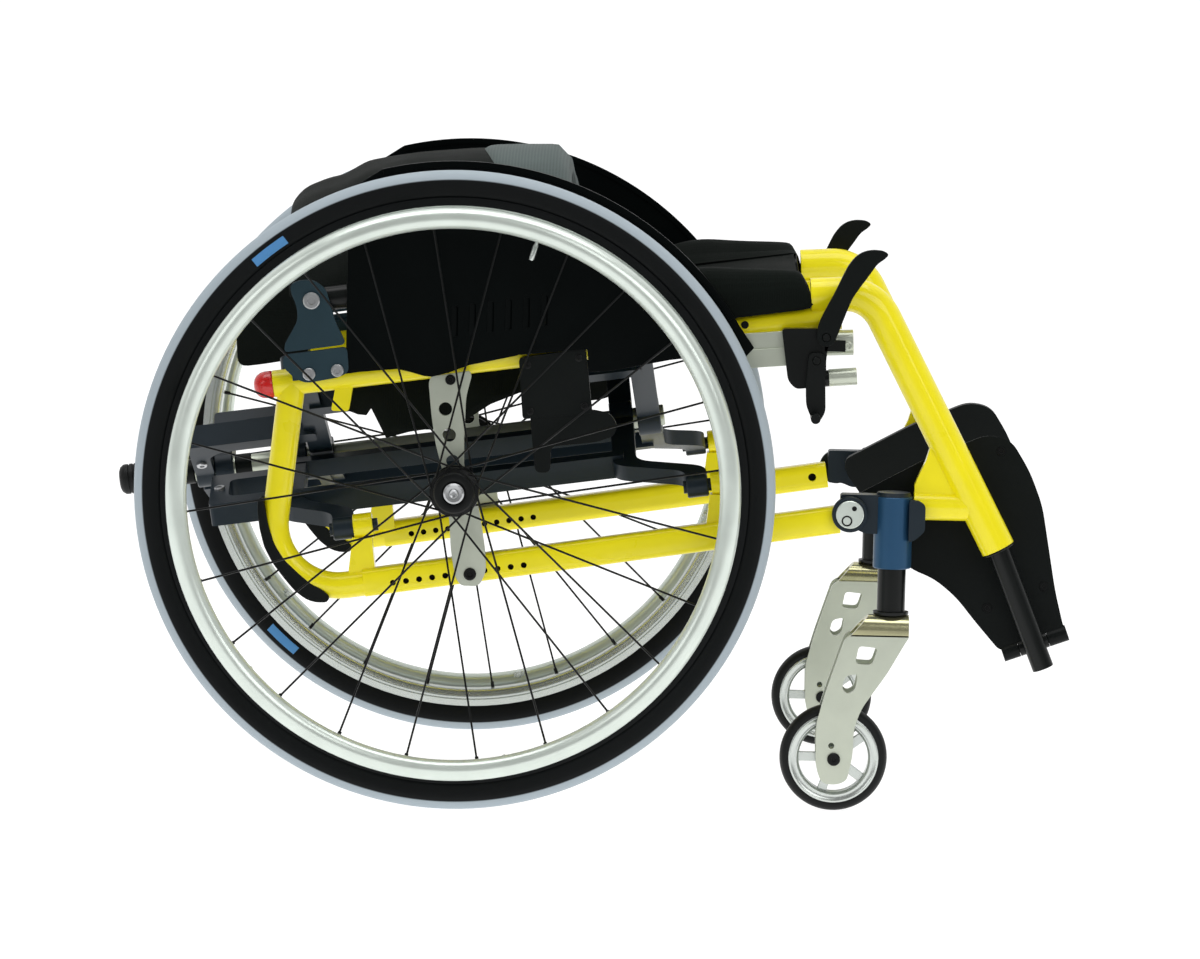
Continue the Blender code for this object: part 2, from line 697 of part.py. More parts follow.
def tip_cap():
    profile = [(0.0, TIP_CAP_LENGTH), (TIP_CAP_RADIUS * 0.8, TIP_CAP_LENGTH),
               (TIP_CAP_RADIUS, TIP_CAP_LENGTH * 0.8), (TIP_CAP_RADIUS, TIP_CAP_LENGTH * 0.25),
               (TIP_CAP_RADIUS * 0.85, 0.0), (0.0, 0.0)]
    start = in_brace(CENTRE_TUBE_REAR - FIT, 0.0, BRACE_RISE)
    along = BRACE.to_3x3() @ Vector((-1.0, 0.0, 0.0))
    place = Matrix.Translation(start) @ along.to_track_quat("Z", "Y").to_matrix().to_4x4()
    return turned(profile, 14, place)


def seat_tube():
    return cylinder(in_brace(SEAT_TUBE_REAR, -SEAT_TUBE_Y, SEAT_TUBE_HEIGHT),
                    in_brace(SEAT_TUBE_FRONT, -SEAT_TUBE_Y, SEAT_TUBE_HEIGHT), SEAT_TUBE_RADIUS, 16)


# Main wheel, turned about the axle

def wheel_ring(profile, closed=True, steps=WHEEL_STEPS):
    return turned(profile, steps, across(0.0, -WHEEL_Y, TYRE_RADIUS), closed)


def tyre():
    half_width = TYRE_WIDTH / 2
    bead = TYRE_RADIUS - TYRE_HEIGHT
    section = [(bead, -half_width * 0.7)]
    for angle in (-90, -TREAD_ANGLE, TREAD_ANGLE, 90):
        a = math.radians(angle)
        section.append((TYRE_RADIUS - half_width + half_width * math.cos(a) / math.cos(math.radians(TREAD_ANGLE)),
                        half_width * math.sin(a)))
    section.append((bead, half_width * 0.7))
    return wheel_ring(section)


def rim():
    outer = TYRE_RADIUS - TYRE_HEIGHT - FIT
    inner = outer - RIM_DEPTH
    half_width = RIM_WIDTH / 2
    return wheel_ring([(inner, -half_width * 0.5), (inner + RIM_DEPTH * 0.4, -half_width), (outer, -half_width),
                       (outer, half_width), (inner + RIM_DEPTH * 0.4, half_width), (inner, half_width * 0.5)])


def hub():
    bore = AXLE_RADIUS + RUNNING_FIT
    half_flange = 0.0015
    return wheel_ring([
        (bore, HUB_INNER_END), (HUB_BARREL + 0.001, HUB_INNER_END),
        (HUB_BARREL + 0.001, FLANGE_INNER - half_flange), (FLANGE_RADIUS - 0.002, FLANGE_INNER - half_flange),
        (FLANGE_RADIUS - 0.002, FLANGE_INNER + half_flange), (HUB_BARREL, FLANGE_INNER + 2 * half_flange),
        (HUB_BARREL, FLANGE_OUTER - 2 * half_flange), (FLANGE_RADIUS, FLANGE_OUTER - half_flange),
        (FLANGE_RADIUS, FLANGE_OUTER + half_flange), (HUB_CAP_RADIUS, FLANGE_OUTER + 2 * half_flange),
        (HUB_CAP_RADIUS, HUB_OUTER_END - 0.002), (HUB_CAP_RADIUS - 0.0035, HUB_OUTER_END),
        (bore, HUB_OUTER_END)], steps=14)


def spokes():
    """Half the spokes hook into each hub flange, leaning opposite ways, and meet the rim evenly spaced."""
    rim_inside = TYRE_RADIUS - TYRE_HEIGHT - FIT - RIM_DEPTH
    wires = []
    for i in range(SPOKES):
        outer = i % 2 == 1
        rim_angle = math.tau * i / SPOKES + SPOKE_TURN
        lead = SPOKE_LEAD if outer else -SPOKE_LEAD
        flange = FLANGE_RADIUS - 0.003 if outer else FLANGE_RADIUS - 0.005
        height = FLANGE_OUTER if outer else FLANGE_INNER
        start = (flange * math.cos(rim_angle + lead), -WHEEL_Y - height,
                 TYRE_RADIUS + flange * math.sin(rim_angle + lead))
        reach = rim_inside - 0.0012
        end = (reach * math.cos(rim_angle), -WHEEL_Y - height * 0.12, TYRE_RADIUS + reach * math.sin(rim_angle))
        wires.append(cylinder(start, end, SPOKE_RADIUS, 4))
    return together(*wires)


def handrim():
    radius = TYRE_RADIUS - HANDRIM_INSET
    ring_section = [(radius + x, HANDRIM_STANDOFF + y) for x, y in circle(0.0, 0.0, HANDRIM_TUBE, 6)]
    ring = wheel_ring(ring_section)
    rim_outside = TYRE_RADIUS - TYRE_HEIGHT - FIT
    tab_radius = rim_outside - RIM_DEPTH * 0.6 + TAB_THICKNESS / 2
    start = RIM_WIDTH / 2 + FIT
    length = HANDRIM_STANDOFF - start
    for i in range(HANDRIM_TABS):
        angle = math.tau * (i + 0.5) / HANDRIM_TABS + TAB_TURN
        tab = block((0.0, 0.0, 0.0), (TAB_THICKNESS, length, TAB_WIDTH))
        tab.data.transform(Matrix.Translation((tab_radius, -start - length / 2, 0.0)))
        tab.data.transform(Matrix.Translation((0.0, -WHEEL_Y, TYRE_RADIUS)) @ Matrix.Rotation(-angle, 4, "Y"))
        ring = union(ring, tab)
    return ring


def axle():
    """The quick-release pin, hollow at its outer end for the release button."""
    head = HUB_OUTER_END + 0.0006
    tip = -(WHEEL_Y - RAIL_OUTSIDE) + 0.0012
    depth = head + AXLE_HEAD_LENGTH - BUTTON_LENGTH
    return wheel_ring([(0.0, depth), (BUTTON_RADIUS + FIT, depth), (BUTTON_RADIUS + FIT, head + AXLE_HEAD_LENGTH),
                       (AXLE_HEAD, head + AXLE_HEAD_LENGTH), (AXLE_HEAD, head), (AXLE_RADIUS, head),
                       (AXLE_RADIUS, tip), (0.0, tip)], False, 14)


def axle_button():
    end = HUB_OUTER_END + 0.0006 + AXLE_HEAD_LENGTH + BUTTON_TRAVEL + 0.0005
    start = end - BUTTON_LENGTH + FIT
    return wheel_ring([(0.0, end), (BUTTON_RADIUS - 0.0008, end), (BUTTON_RADIUS, end - 0.0008),
                       (BUTTON_RADIUS, start), (0.0, start)], False, 12)


def axle_bracket():
    """The drilled plate that joins both rails and takes the axle in a sleeve."""
    inside = RAIL_OUTSIDE + FIT
    middle = inside + BRACKET_THICKNESS / 2
    outline = [(-0.0270, 0.3906), (-0.0254, 0.3969), (0.0107, 0.4030), (0.0126, 0.3986), (0.0077, 0.3790),
               (0.0067, 0.3399), (0.0070, 0.3132), (0.0222, 0.2727), (0.0283, 0.2372), (0.0296, 0.2177),
               (0.0236, 0.2033), (0.0059, 0.2034), (0.0010, 0.2117), (-0.0036, 0.2365), (-0.0055, 0.2650),
               (-0.0125, 0.3093), (-0.0198, 0.3358), (-0.0238, 0.3605)]
    holes = [circle(x, z, BRACKET_HOLE, 10) for x, z in ((-0.0111, 0.3673), (-0.0071, 0.3431), (-0.0034, 0.3187))]
    body = plate(rounded(outline, 0.006, 1), BRACKET_THICKNESS, side_plane(-middle), holes)
    sleeve_end = WHEEL_Y + HUB_INNER_END - 0.0008
    sleeve = cylinder((0.0, -inside - 0.001, TYRE_RADIUS), (0.0, -sleeve_end, TYRE_RADIUS), AXLE_SLEEVE)
    bore = cylinder((0.0, -inside + 0.01, TYRE_RADIUS), (0.0, -sleeve_end - 0.01, TYRE_RADIUS), AXLE_RADIUS + FIT)
    return cut(union(body, sleeve), bore)


# Side guard and its clamp

def side_guard():
    low = [(GUARD_REAR, rail_height(GUARD_REAR) + 0.004), (0.10, rail_height(0.10) + 0.002),
           (0.20, rail_height(0.20) - 0.004), (0.262, 0.4215), (0.2725, 0.431)]
    sweep = arc((0.0, TYRE_RADIUS), GUARD_ARC, 31, 104, 14)
    outline = low + sweep + [(GUARD_REAR, sweep[-1][1] - 0.020)]
    slots = []
    for i in range(GUARD_SLOTS):
        x = -0.004 + i * GUARD_SLOT_PITCH
        z = rail_height(x) + 0.040
        slots.append([(x - 0.003, z - 0.014), (x + 0.003, z - 0.014), (x + 0.003, z + 0.014), (x - 0.003, z + 0.014)])
    return plate(outline, GUARD_THICKNESS, side_plane(-GUARD_Y), slots)


def guard_clamp():
    thickness = GUARD_Y - GUARD_THICKNESS / 2 - RAIL_OUTSIDE - 2 * FIT
    middle = RAIL_OUTSIDE + FIT + thickness / 2
    square = [(0.0558, 0.4164), (0.1173, 0.4267), (0.1248, 0.3667), (0.0605, 0.3599)]
    arm = [(0.0670, 0.3640), (0.1240, 0.3700), (0.1420, 0.3665), (0.1482, 0.3560), (0.1450, 0.3460),
           (0.1290, 0.3400), (0.0871, 0.3350), (0.0871, 0.3108), (0.0730, 0.3105)]
    upper = plate(rounded(square, 0.003, 2), thickness, side_plane(-middle))
    lower = plate(rounded(arm, 0.004, 1), thickness * 0.8, side_plane(-middle))
    return union(upper, lower)


# Backrest: bracket, folding post and sling

def back_bracket():
    outline = [(-0.1555, 0.4805), (-0.1466, 0.4841), (-0.1344, 0.4844), (-0.1231, 0.4768), (-0.1136, 0.4457),
               (-0.1031, 0.4258), (-0.1004, 0.4001), (-0.1394, 0.3891), (-0.1620, 0.4043), (-0.1626, 0.4155),
               (-0.1601, 0.4245), (-0.1482, 0.4471), (-0.1496, 0.4605), (-0.1554, 0.4727)]
    body = plate(rounded(outline, 0.005, 2), BRACKET_THICKNESS, side_plane(-BACK_BRACKET_Y))
    inner_face = BACK_BRACKET_Y - BRACKET_THICKNESS / 2
    foot_thickness = inner_face + 0.001 - RAIL_OUTSIDE - FIT
    foot = block((-0.131, -RAIL_OUTSIDE - FIT - foot_thickness / 2, 0.4035), (0.050, foot_thickness, 0.020), SLOPE)
    pin = cylinder((BACK_PIVOT[0], -BACK_BRACKET_Y, BACK_PIVOT[1]),
                   (BACK_PIVOT[0], -BACK_POST_Y + BACK_POST_RADIUS + BACK_PIN_END, BACK_PIVOT[1]), BACK_PIN_RADIUS, 12)
    return union(body, foot, pin)


def back_post():
    pivot = Vector((BACK_PIVOT[0], -BACK_POST_Y, BACK_PIVOT[1]))
    along = Vector((math.cos(SLOPE), 0.0, math.sin(SLOPE)))
    post = cylinder(pivot - along * 0.014, pivot + along * BACK_POST_LENGTH, BACK_POST_RADIUS, 16)
    bore = cylinder(pivot + Vector((0.0, 0.03, 0.0)), pivot - Vector((0.0, 0.03, 0.0)),
                    BACK_PIN_RADIUS + RUNNING_FIT, 12)
    return cut(post, bore)


def sheet_between(section, start, end, rows, place):
    """A soft panel: section gives its (y, z) centre line, and it runs along X of place with a thickness."""
    columns = len(section)
    bm = bmesh.new()
    grid = []
    for row in range(rows + 1):
        x = start + (end - start) * row / rows
        grid.append([bm.verts.new(place @ Vector((x, y, z))) for y, z in section])
    for row in range(rows):
        for column in range(columns - 1):
            bm.faces.new((grid[row][column], grid[row + 1][column], grid[row + 1][column + 1], grid[row][column + 1]))
    return solid_from_bmesh(bm)


def thickened(surface, thickness):
    solidify = surface.modifiers.new("thickness", "SOLIDIFY")
    solidify.thickness = thickness
    solidify.offset = 0.0
    return evaluated_solid(surface)


def back_sling():
    pivot = Vector((BACK_PIVOT[0], 0.0, BACK_PIVOT[1]))
    place = Matrix.Translation(pivot) @ Matrix.Rotation(-SLOPE, 4, "Y")
    edge = BACK_POST_Y - BACK_POST_RADIUS - BACK_PIN_END - SLING_THICKNESS / 2 - 2 * FIT
    columns = 20
    section = []
    for i in range(columns + 1):
        y = -edge + 2 * edge * i / columns
        share = y / edge
        section.append((y, BACK_SLING_BULGE * (1 - abs(share) ** 2.6)))
    return thickened(sheet_between(section, -BACK_SLING_TAIL, BACK_POST_LENGTH, 6, place), SLING_THICKNESS)


def seat_sling():
    """The seat cloth: it sags between the seat tubes, goes over them and hangs outside the rails."""
    height = SEAT_TUBE_HEIGHT
    flap = RAIL_OUTSIDE + SEAT_CLOTH / 2 + 0.0008
    over = SEAT_TUBE_RADIUS + SEAT_CLOTH / 2 + 0.0006
    rail_line = height - SEAT_TUBE_LIFT
    half = [(flap, rail_line + 0.003), (flap, rail_line + 0.022), (SEAT_TUBE_Y + 0.017, height + 0.0125),
            (SEAT_TUBE_Y, height + over), (SEAT_TUBE_Y - 0.016, height + 0.0128),
            (SEAT_TUBE_Y - 0.05, height + 0.006), (SEAT_TUBE_Y * 0.45, height + 0.006 - SEAT_SLING_SAG * 0.7),
            (0.0, height + 0.006 - SEAT_SLING_SAG)]
    section = [(-y, z) for y, z in half] + [(y, z) for y, z in reversed(half[:-1])]
    start = SEAT_TUBE_REAR + SEAT_SLING_MARGIN
    end = SEAT_TUBE_FRONT - SEAT_SLING_MARGIN
    return thickened(sheet_between(section, start, end, 8, BRACE), SEAT_CLOTH)


# Castor: housing on the frame, stem and fork that swivel, and the wheel

def castor_housing():
    barrel = cylinder((CASTOR_STEM_X, -CASTOR_Y, HOUSING_LOW), (CASTOR_STEM_X, -CASTOR_Y, HOUSING_HIGH),
                      HOUSING_RADIUS, 20)
    rail_end = (LOWER_RAIL_FRONT, lower_rail_height(LOWER_RAIL_FRONT))
    arm_start = rail_end[0] + 0.0055
    arm = block(((arm_start + CASTOR_STEM_X) / 2, -CASTOR_Y, 0.2790), (CASTOR_STEM_X - arm_start, 0.020, 0.034))
    disc = cylinder((0.3646, -CASTOR_Y - 0.0105, 0.2787), (0.3646, -CASTOR_Y - 0.0180, 0.2787), 0.0165, 16)
    bridge = block((0.3715, -CASTOR_Y - 0.0115, 0.2787), (0.020, 0.006, 0.026))
    lobe_inside = FRAME_Y + STRUT_RADIUS + FIT
    lobe_outside = CASTOR_Y + HOUSING_RADIUS
    lobe = block((CASTOR_STEM_X + 0.0145, -(lobe_inside + lobe_outside) / 2, 0.2750),
                 (0.028, lobe_outside - lobe_inside, 0.0324), 0.0, 0.002)
    housing = union(barrel, arm, bridge, disc, lobe)
    bore = cylinder((CASTOR_STEM_X, -CASTOR_Y, HOUSING_LOW - 0.01),
                    (CASTOR_STEM_X, -CASTOR_Y, HOUSING_HIGH - 0.005), STEM_RADIUS + RUNNING_FIT, 20)
    return cut(housing, bore)


def castor_stem():
    return cylinder((CASTOR_STEM_X, -CASTOR_Y, FORK_TOP + FIT), (CASTOR_STEM_X, -CASTOR_Y, HOUSING_HIGH - 0.006),
                    STEM_RADIUS, 20)


def castor_fork():
    axle_x = CASTOR_STEM_X - CASTOR_TRAIL
    top = FORK_TOP
    leg = [(0.3755, top), (0.4225, top), (0.4224, 0.1775), (0.4193, 0.1623), (0.4029, 0.1306),
           (0.3800, 0.0975), (0.3735, 0.0787), (0.3730, 0.0531), (0.3680, 0.0300), (0.3590, 0.0262),
           (0.3450, 0.0266), (0.3390, 0.0420), (0.3384, 0.0826), (0.3468, 0.1130), (0.3629, 0.1622)]
    window = rounded([(0.3750, 0.1560), (0.3941, 0.1545), (0.3890, 0.1388), (0.3725, 0.1396)], 0.003, 1)
    slot = rounded([(0.3630, 0.1265), (0.3763, 0.1304), (0.3730, 0.1130), (0.3620, 0.1110)], 0.004, 1)
    bore = circle(axle_x, CASTOR_RADIUS, 0.0046, 8)
    legs = []
    for side in (-1, 1):
        y = -CASTOR_Y + side * (FORK_GAP + FORK_LEG) / 2
        legs.append(plate(rounded(leg, 0.006, 1), FORK_LEG, side_plane(y), [window, slot, bore]))
    crown = block((0.3985, -CASTOR_Y, top - 0.0075), (0.046, FORK_GAP + FORK_LEG, 0.0145))
    return union(crown, *legs)


def castor_ring(profile, closed=True, steps=CASTOR_STEPS):
    return turned(profile, steps, across(CASTOR_STEM_X - CASTOR_TRAIL, -CASTOR_Y, CASTOR_RADIUS), closed)


def castor_tyre():
    w = CASTOR_WIDTH / 2
    return castor_ring([(CASTOR_BEAD, -w * 0.8), (CASTOR_BEAD + 0.006, -w), (CASTOR_RADIUS - 0.003, -w * 0.75),
                        (CASTOR_RADIUS, -w * 0.25), (CASTOR_RADIUS, w * 0.25), (CASTOR_RADIUS - 0.003, w * 0.75),
                        (CASTOR_BEAD + 0.006, w), (CASTOR_BEAD, w * 0.8)])


def castor_hub():
    """The dished wheel centre, with its axle through the fork."""
    w = CASTOR_WIDTH / 2
    axle_x = CASTOR_STEM_X - CASTOR_TRAIL
    half_web = 0.0025
    axle_end = FORK_GAP / 2 + FORK_LEG + 0.0025
    rim = CASTOR_BEAD - FIT
    half = [(rim, w * 0.75), (rim - 0.005, w * 0.75), (rim - 0.008, half_web), (0.014, half_web),
            (0.011, FORK_GAP / 2 - RUNNING_FIT), (0.004, FORK_GAP / 2 - RUNNING_FIT), (0.004, axle_end),
            (0.0, axle_end)]
    profile = list(reversed(half)) + [(radius, -height) for radius, height in half]
    centre = castor_ring(profile, False)
    holes = []
    for i in range(CASTOR_HOLES):
        angle = math.tau * i / CASTOR_HOLES
        x = axle_x + CASTOR_HOLE_CIRCLE * math.cos(angle)
        z = CASTOR_RADIUS + CASTOR_HOLE_CIRCLE * math.sin(angle)
        holes.append(cylinder((x, -CASTOR_Y - w, z), (x, -CASTOR_Y + w, z), CASTOR_HOLE, 8))
    return cut(centre, together(*holes))


# Footrest: post in the leg tube, with a hinge at its foot, and the flip-up plate

def hinge_frame(lean):
    """At the right footplate hinge: X along the pin, Y up the folded plate, Z square to the plate."""
    across_plate = Vector((-math.sin(FOOT_HINGE_TILT), 0.0, math.cos(FOOT_HINGE_TILT)))
    inward = Vector((0.0, 1.0, 0.0))
    y_axis = across_plate * math.cos(lean) + inward * math.sin(lean)
    z_axis = HINGE_ALONG.cross(y_axis)
    rotation = Matrix((HINGE_ALONG, y_axis, z_axis)).transposed().to_4x4()
    return Matrix.Translation((FOOT_HINGE[0], -FOOT_HINGE_Y, FOOT_HINGE[1])) @ rotation


def foot_post():
    end = Vector((FOOT_POST_END[0], -FRAME_Y, FOOT_POST_END[1]))
    leg_end = Vector((LEG_FOOT[0], -FRAME_Y, LEG_FOOT[1]))
    top = leg_end - LEG_ALONG * (LEG_BORE_DEPTH - 0.012)
    post = tube([tuple(top), tuple(leg_end), tuple(end)], FOOT_POST_RADIUS, 16)
    hinge = Vector((FOOT_HINGE[0], -FOOT_HINGE_Y, FOOT_HINGE[1]))
    knuckle = cylinder(hinge - HINGE_ALONG * KNUCKLE_HALF, hinge + HINGE_ALONG * KNUCKLE_HALF, KNUCKLE_RADIUS, 12)
    arm = block((FOOT_HINGE[0], -(FRAME_Y + FOOT_HINGE_Y) / 2 - 0.001, FOOT_HINGE[1]),
                (KNUCKLE_HALF * 1.4, FRAME_Y - FOOT_HINGE_Y - 0.004, KNUCKLE_RADIUS * 1.3), FOOT_HINGE_TILT)
    bore = cylinder(hinge - HINGE_ALONG * 0.03, hinge + HINGE_ALONG * 0.03, FOOT_PIN_RADIUS + RUNNING_FIT, 10)
    return cut(union(post, arm, knuckle), bore)


def footplate():
    place = hinge_frame(FOOT_LEAN)
    low = KNUCKLE_RADIUS + 0.0015
    outline = [(0.034, low), (0.050, 0.060), (0.051, 0.108), (0.046, 0.160), (0.030, 0.194), (0.008, 0.197),
               (-0.034, 0.190), (-0.108, 0.188), (-0.112, 0.176), (-0.083, 0.112), (-0.055, 0.058), (-0.031, low)]
    body = plate(rounded(outline, 0.009, 2), FOOTPLATE_THICKNESS, place)
    for start, end in ((-0.030, -KNUCKLE_HALF - FIT), (KNUCKLE_HALF + FIT, 0.033)):
        knuckle = cylinder(place @ Vector((start, 0.0, 0.0)), place @ Vector((end, 0.0, 0.0)), KNUCKLE_RADIUS, 12)
        middle = (start + end) / 2
        web_outline = [(start + 0.001, 0.0), (end - 0.001, 0.0), (end - 0.001, low + 0.006), (start + 0.001, low + 0.006)]
        web = plate(web_outline, FOOTPLATE_THICKNESS * 0.9, place)
        body = union(body, knuckle, web)
    pin = cylinder(place @ Vector((-0.029, 0.0, 0.0)), place @ Vector((0.032, 0.0, 0.0)), FOOT_PIN_RADIUS, 10)
    return union(body, pin)


# Brake: clamp on the rail, hand lever and the shoe that swings back onto the tyre

def brake_clamp():
    channel = block((0.284, -BRAKE_INNER - 0.004, 0.4290), (0.088, 0.008, 0.032), math.radians(5), 0.001)
    outline = [(0.2975, 0.4494), (0.3043, 0.4015), (0.3116, 0.3938), (0.3397, 0.3966), (0.3391, 0.4207),
               (0.3405, 0.4340), (0.3455, 0.4400), (0.3440, 0.4503)]
    body = plate(rounded(outline, 0.003, 1), BRAKE_BODY_Y - BRAKE_INNER, side_plane(-(BRAKE_INNER + BRAKE_BODY_Y) / 2))
    pins = []
    for x, z in (LEVER_PIVOT, SHOE_PIVOT):
        outer_end = BRAKE_BODY_Y + LEVER_THICKNESS + 0.002
        pins.append(cylinder((x, -BRAKE_BODY_Y + 0.003, z), (x, -outer_end, z), BRAKE_PIN_RADIUS, 10))
    return union(channel, body, *pins)


def brake_lever():
    x, z = LEVER_PIVOT
    eye = arc((x, z), LEVER_EYE, 180, 360, 6)
    blade = [(x + 0.0100, z + 0.0080), (0.3536, 0.4566), (0.3615, 0.4780), (0.3791, 0.5038), (0.3860, 0.5110),
             (0.3942, 0.5182), (0.3927, 0.5224), (0.3758, 0.5234), (0.3633, 0.5161), (0.3552, 0.5046),
             (0.3351, 0.4647), (x - 0.0085, z + 0.0100)]
    bore = circle(x, z, BRAKE_PIN_RADIUS + RUNNING_FIT, 10)
    return plate(eye + rounded(blade, 0.005, 1, closed=False), LEVER_THICKNESS, side_plane(-BRAKE_PLANE), [bore])


def brake_shoe():
    """The arm that hangs from its pin, with the bar at its end that presses on the tread."""
    x, z = SHOE_PIVOT
    low = z - SHOE_ARM
    end = SHOE_BAR_RADIUS + 0.0015
    outline = [(x - 0.007, z + 0.007), (x + 0.007, z + 0.007), (x + 0.007, z - 0.030), (x + end, low - end),
               (x - end, low - end), (x - 0.005, z - 0.036)]
    bore = circle(x, z, BRAKE_PIN_RADIUS + RUNNING_FIT, 10)
    arm = plate(rounded(outline, 0.004, 1), LEVER_THICKNESS, side_plane(-BRAKE_PLANE), [bore])
    bar = cylinder((x, -BRAKE_PLANE + LEVER_THICKNESS * 0.3, low), (x, -WHEEL_Y - TYRE_WIDTH / 3, low),
                   SHOE_BAR_RADIUS, 12)
    return union(arm, bar)


def centre_chair():
    """Moves the chair so that the origin is under the middle of its length."""
    bpy.context.view_layer.update()
    pieces = [o for o in chair_collection.objects if o.type == "MESH"]
    reach = [(o.matrix_world @ v.co).x for o in pieces for v in o.data.vertices]
    CHAIR.location.x = -(min(reach) + max(reach)) / 2
    bpy.context.view_layer.update()


# The whole chair

name_pair("side_frame", side_frame(), YELLOW)
name_pair("end_cap", end_cap(), RED_PLASTIC)
name_pair("frame_protector", frame_protector(), BLACK_PLASTIC)
name_pair("axle_bracket", axle_bracket(), CHAMPAGNE)
name_pair("axle", axle(), STEEL)
name_pair("side_guard", side_guard(), BLACK_PLASTIC)
name_pair("guard_clamp", guard_clamp(), BLACK_PLASTIC)
name_pair("back_bracket", back_bracket(), SLATE)
name_pair("castor_housing", castor_housing(), BLUE)
name_pair("foot_post", foot_post(), BLACK_METAL)
name_pair("brake_clamp", brake_clamp(), BLACK_METAL)

name_pair("tyre", tyre(), TYRE_RUBBER, "wheel")
name_pair("rim", rim(), SILVER, "wheel")
name_pair("spoked_hub", union(hub(), spokes()), BLACK_METAL, "wheel")
name_pair("handrim", handrim(), SILVER, "wheel")
name_pair("axle_button", axle_button(), STEEL, "axle_button")

name_pair("castor_stem", castor_stem(), BLACK_METAL, "castor_swivel")
name_pair("castor_fork", castor_fork(), CHAMPAGNE, "castor_swivel")
name_pair("castor_tyre", castor_tyre(), SOFT_RUBBER, "castor_wheel")
name_pair("castor_hub", castor_hub(), SILVER, "castor_wheel")

name_pair("brake_lever", brake_lever(), BLACK_PLASTIC, "brake_lever")
name_pair("brake_shoe", brake_shoe(), BLACK_METAL, "brake_shoe")
name_pair("back_post", back_post(), BLACK_METAL, "back_post")
name_pair("footplate", footplate(), BLACK_PLASTIC, "footplate")

staggered_arm = cross_arm(ARM_STAGGER)
name_piece("cross_arm_a", cross_arm(0.0), SLATE, "cross_arm_a")
name_piece("cross_arm_b", mirror_image(staggered_arm), SLATE, "cross_arm_b")
bpy.data.objects.remove(staggered_arm)
name_piece("centre_tube", centre_tube(), SILVER, "cross_arm_a")
name_piece("tip_cap", tip_cap(), SOFT_RUBBER, "cross_arm_a")
right_tube = seat_tube()
left_tube = mirror_image(right_tube)
name_piece("right_seat_tube", right_tube, BLACK_METAL, "cross_arm_b")
name_piece("left_seat_tube", left_tube, BLACK_METAL, "cross_arm_a")
name_piece("seat_sling", seat_sling(), BLACK_FABRIC, "right_frame")
name_piece("back_sling", back_sling(), BLACK_FABRIC, "right_back_post")
centre_chair()
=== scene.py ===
import math

import bmesh
import bpy
from mathutils import Matrix, Vector


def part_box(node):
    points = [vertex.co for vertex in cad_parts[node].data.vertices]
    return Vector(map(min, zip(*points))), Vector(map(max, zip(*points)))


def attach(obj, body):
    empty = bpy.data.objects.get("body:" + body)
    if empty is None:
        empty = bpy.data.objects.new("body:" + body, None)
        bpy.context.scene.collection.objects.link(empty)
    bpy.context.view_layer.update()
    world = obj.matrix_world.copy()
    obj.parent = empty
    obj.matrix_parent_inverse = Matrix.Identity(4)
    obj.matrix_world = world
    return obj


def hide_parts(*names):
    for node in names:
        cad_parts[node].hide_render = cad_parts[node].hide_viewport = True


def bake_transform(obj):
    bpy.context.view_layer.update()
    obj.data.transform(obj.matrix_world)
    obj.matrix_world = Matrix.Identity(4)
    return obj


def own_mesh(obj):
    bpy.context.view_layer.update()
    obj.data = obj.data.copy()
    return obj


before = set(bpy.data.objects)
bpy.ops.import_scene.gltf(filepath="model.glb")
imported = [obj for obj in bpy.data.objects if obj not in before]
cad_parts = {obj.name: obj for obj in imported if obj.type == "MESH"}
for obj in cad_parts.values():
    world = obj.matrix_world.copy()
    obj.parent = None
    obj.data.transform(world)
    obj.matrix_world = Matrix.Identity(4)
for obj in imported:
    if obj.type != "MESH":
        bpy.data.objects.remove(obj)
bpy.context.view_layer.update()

# Camera
# The chair is seen square on from its right side, from about six metres, a little above the wheels.
# Lengths along the chair are measured from the main axle, so every place is moved by AXLE_X.

tyre_low, tyre_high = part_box("right_tyre")
AXLE_X = (tyre_low.x + tyre_high.x) / 2
CAMERA_PLACE = Vector((AXLE_X + 0.1784, -6.1625, 0.8721))
CAMERA_YAW = math.radians(-0.438)
CAMERA_PITCH = math.radians(5.467)
CAMERA_ROLL = math.radians(1.276)
PHOTO_WIDTH = 1200
FOCUS_IN_PIXELS = 6437.1

forward = Vector((math.sin(CAMERA_YAW) * math.cos(CAMERA_PITCH),
                  math.cos(CAMERA_YAW) * math.cos(CAMERA_PITCH), -math.sin(CAMERA_PITCH)))
level = forward.cross(Vector((0.0, 0.0, 1.0))).normalized()
upright = level.cross(forward)
camera_right = level * math.cos(CAMERA_ROLL) + upright * math.sin(CAMERA_ROLL)
camera_up = upright * math.cos(CAMERA_ROLL) - level * math.sin(CAMERA_ROLL)

camera_data = bpy.data.cameras.new("photo_camera")
camera_data.sensor_width = 36.0
camera_data.lens = FOCUS_IN_PIXELS / PHOTO_WIDTH * camera_data.sensor_width
camera_data.clip_end = 200.0
camera = bpy.data.objects.new("photo_camera", camera_data)
bpy.context.scene.collection.objects.link(camera)
turn = Matrix((camera_right, camera_up, -forward)).transposed().to_4x4()
camera.matrix_world = Matrix.Translation(CAMERA_PLACE) @ turn
bpy.context.scene.camera = camera

# Floor and studio light
# A white floor that glows, so that nothing casts a shadow on it, a white surround that is darker on the
# camera's side, and three large soft lamps: above, in front and behind.

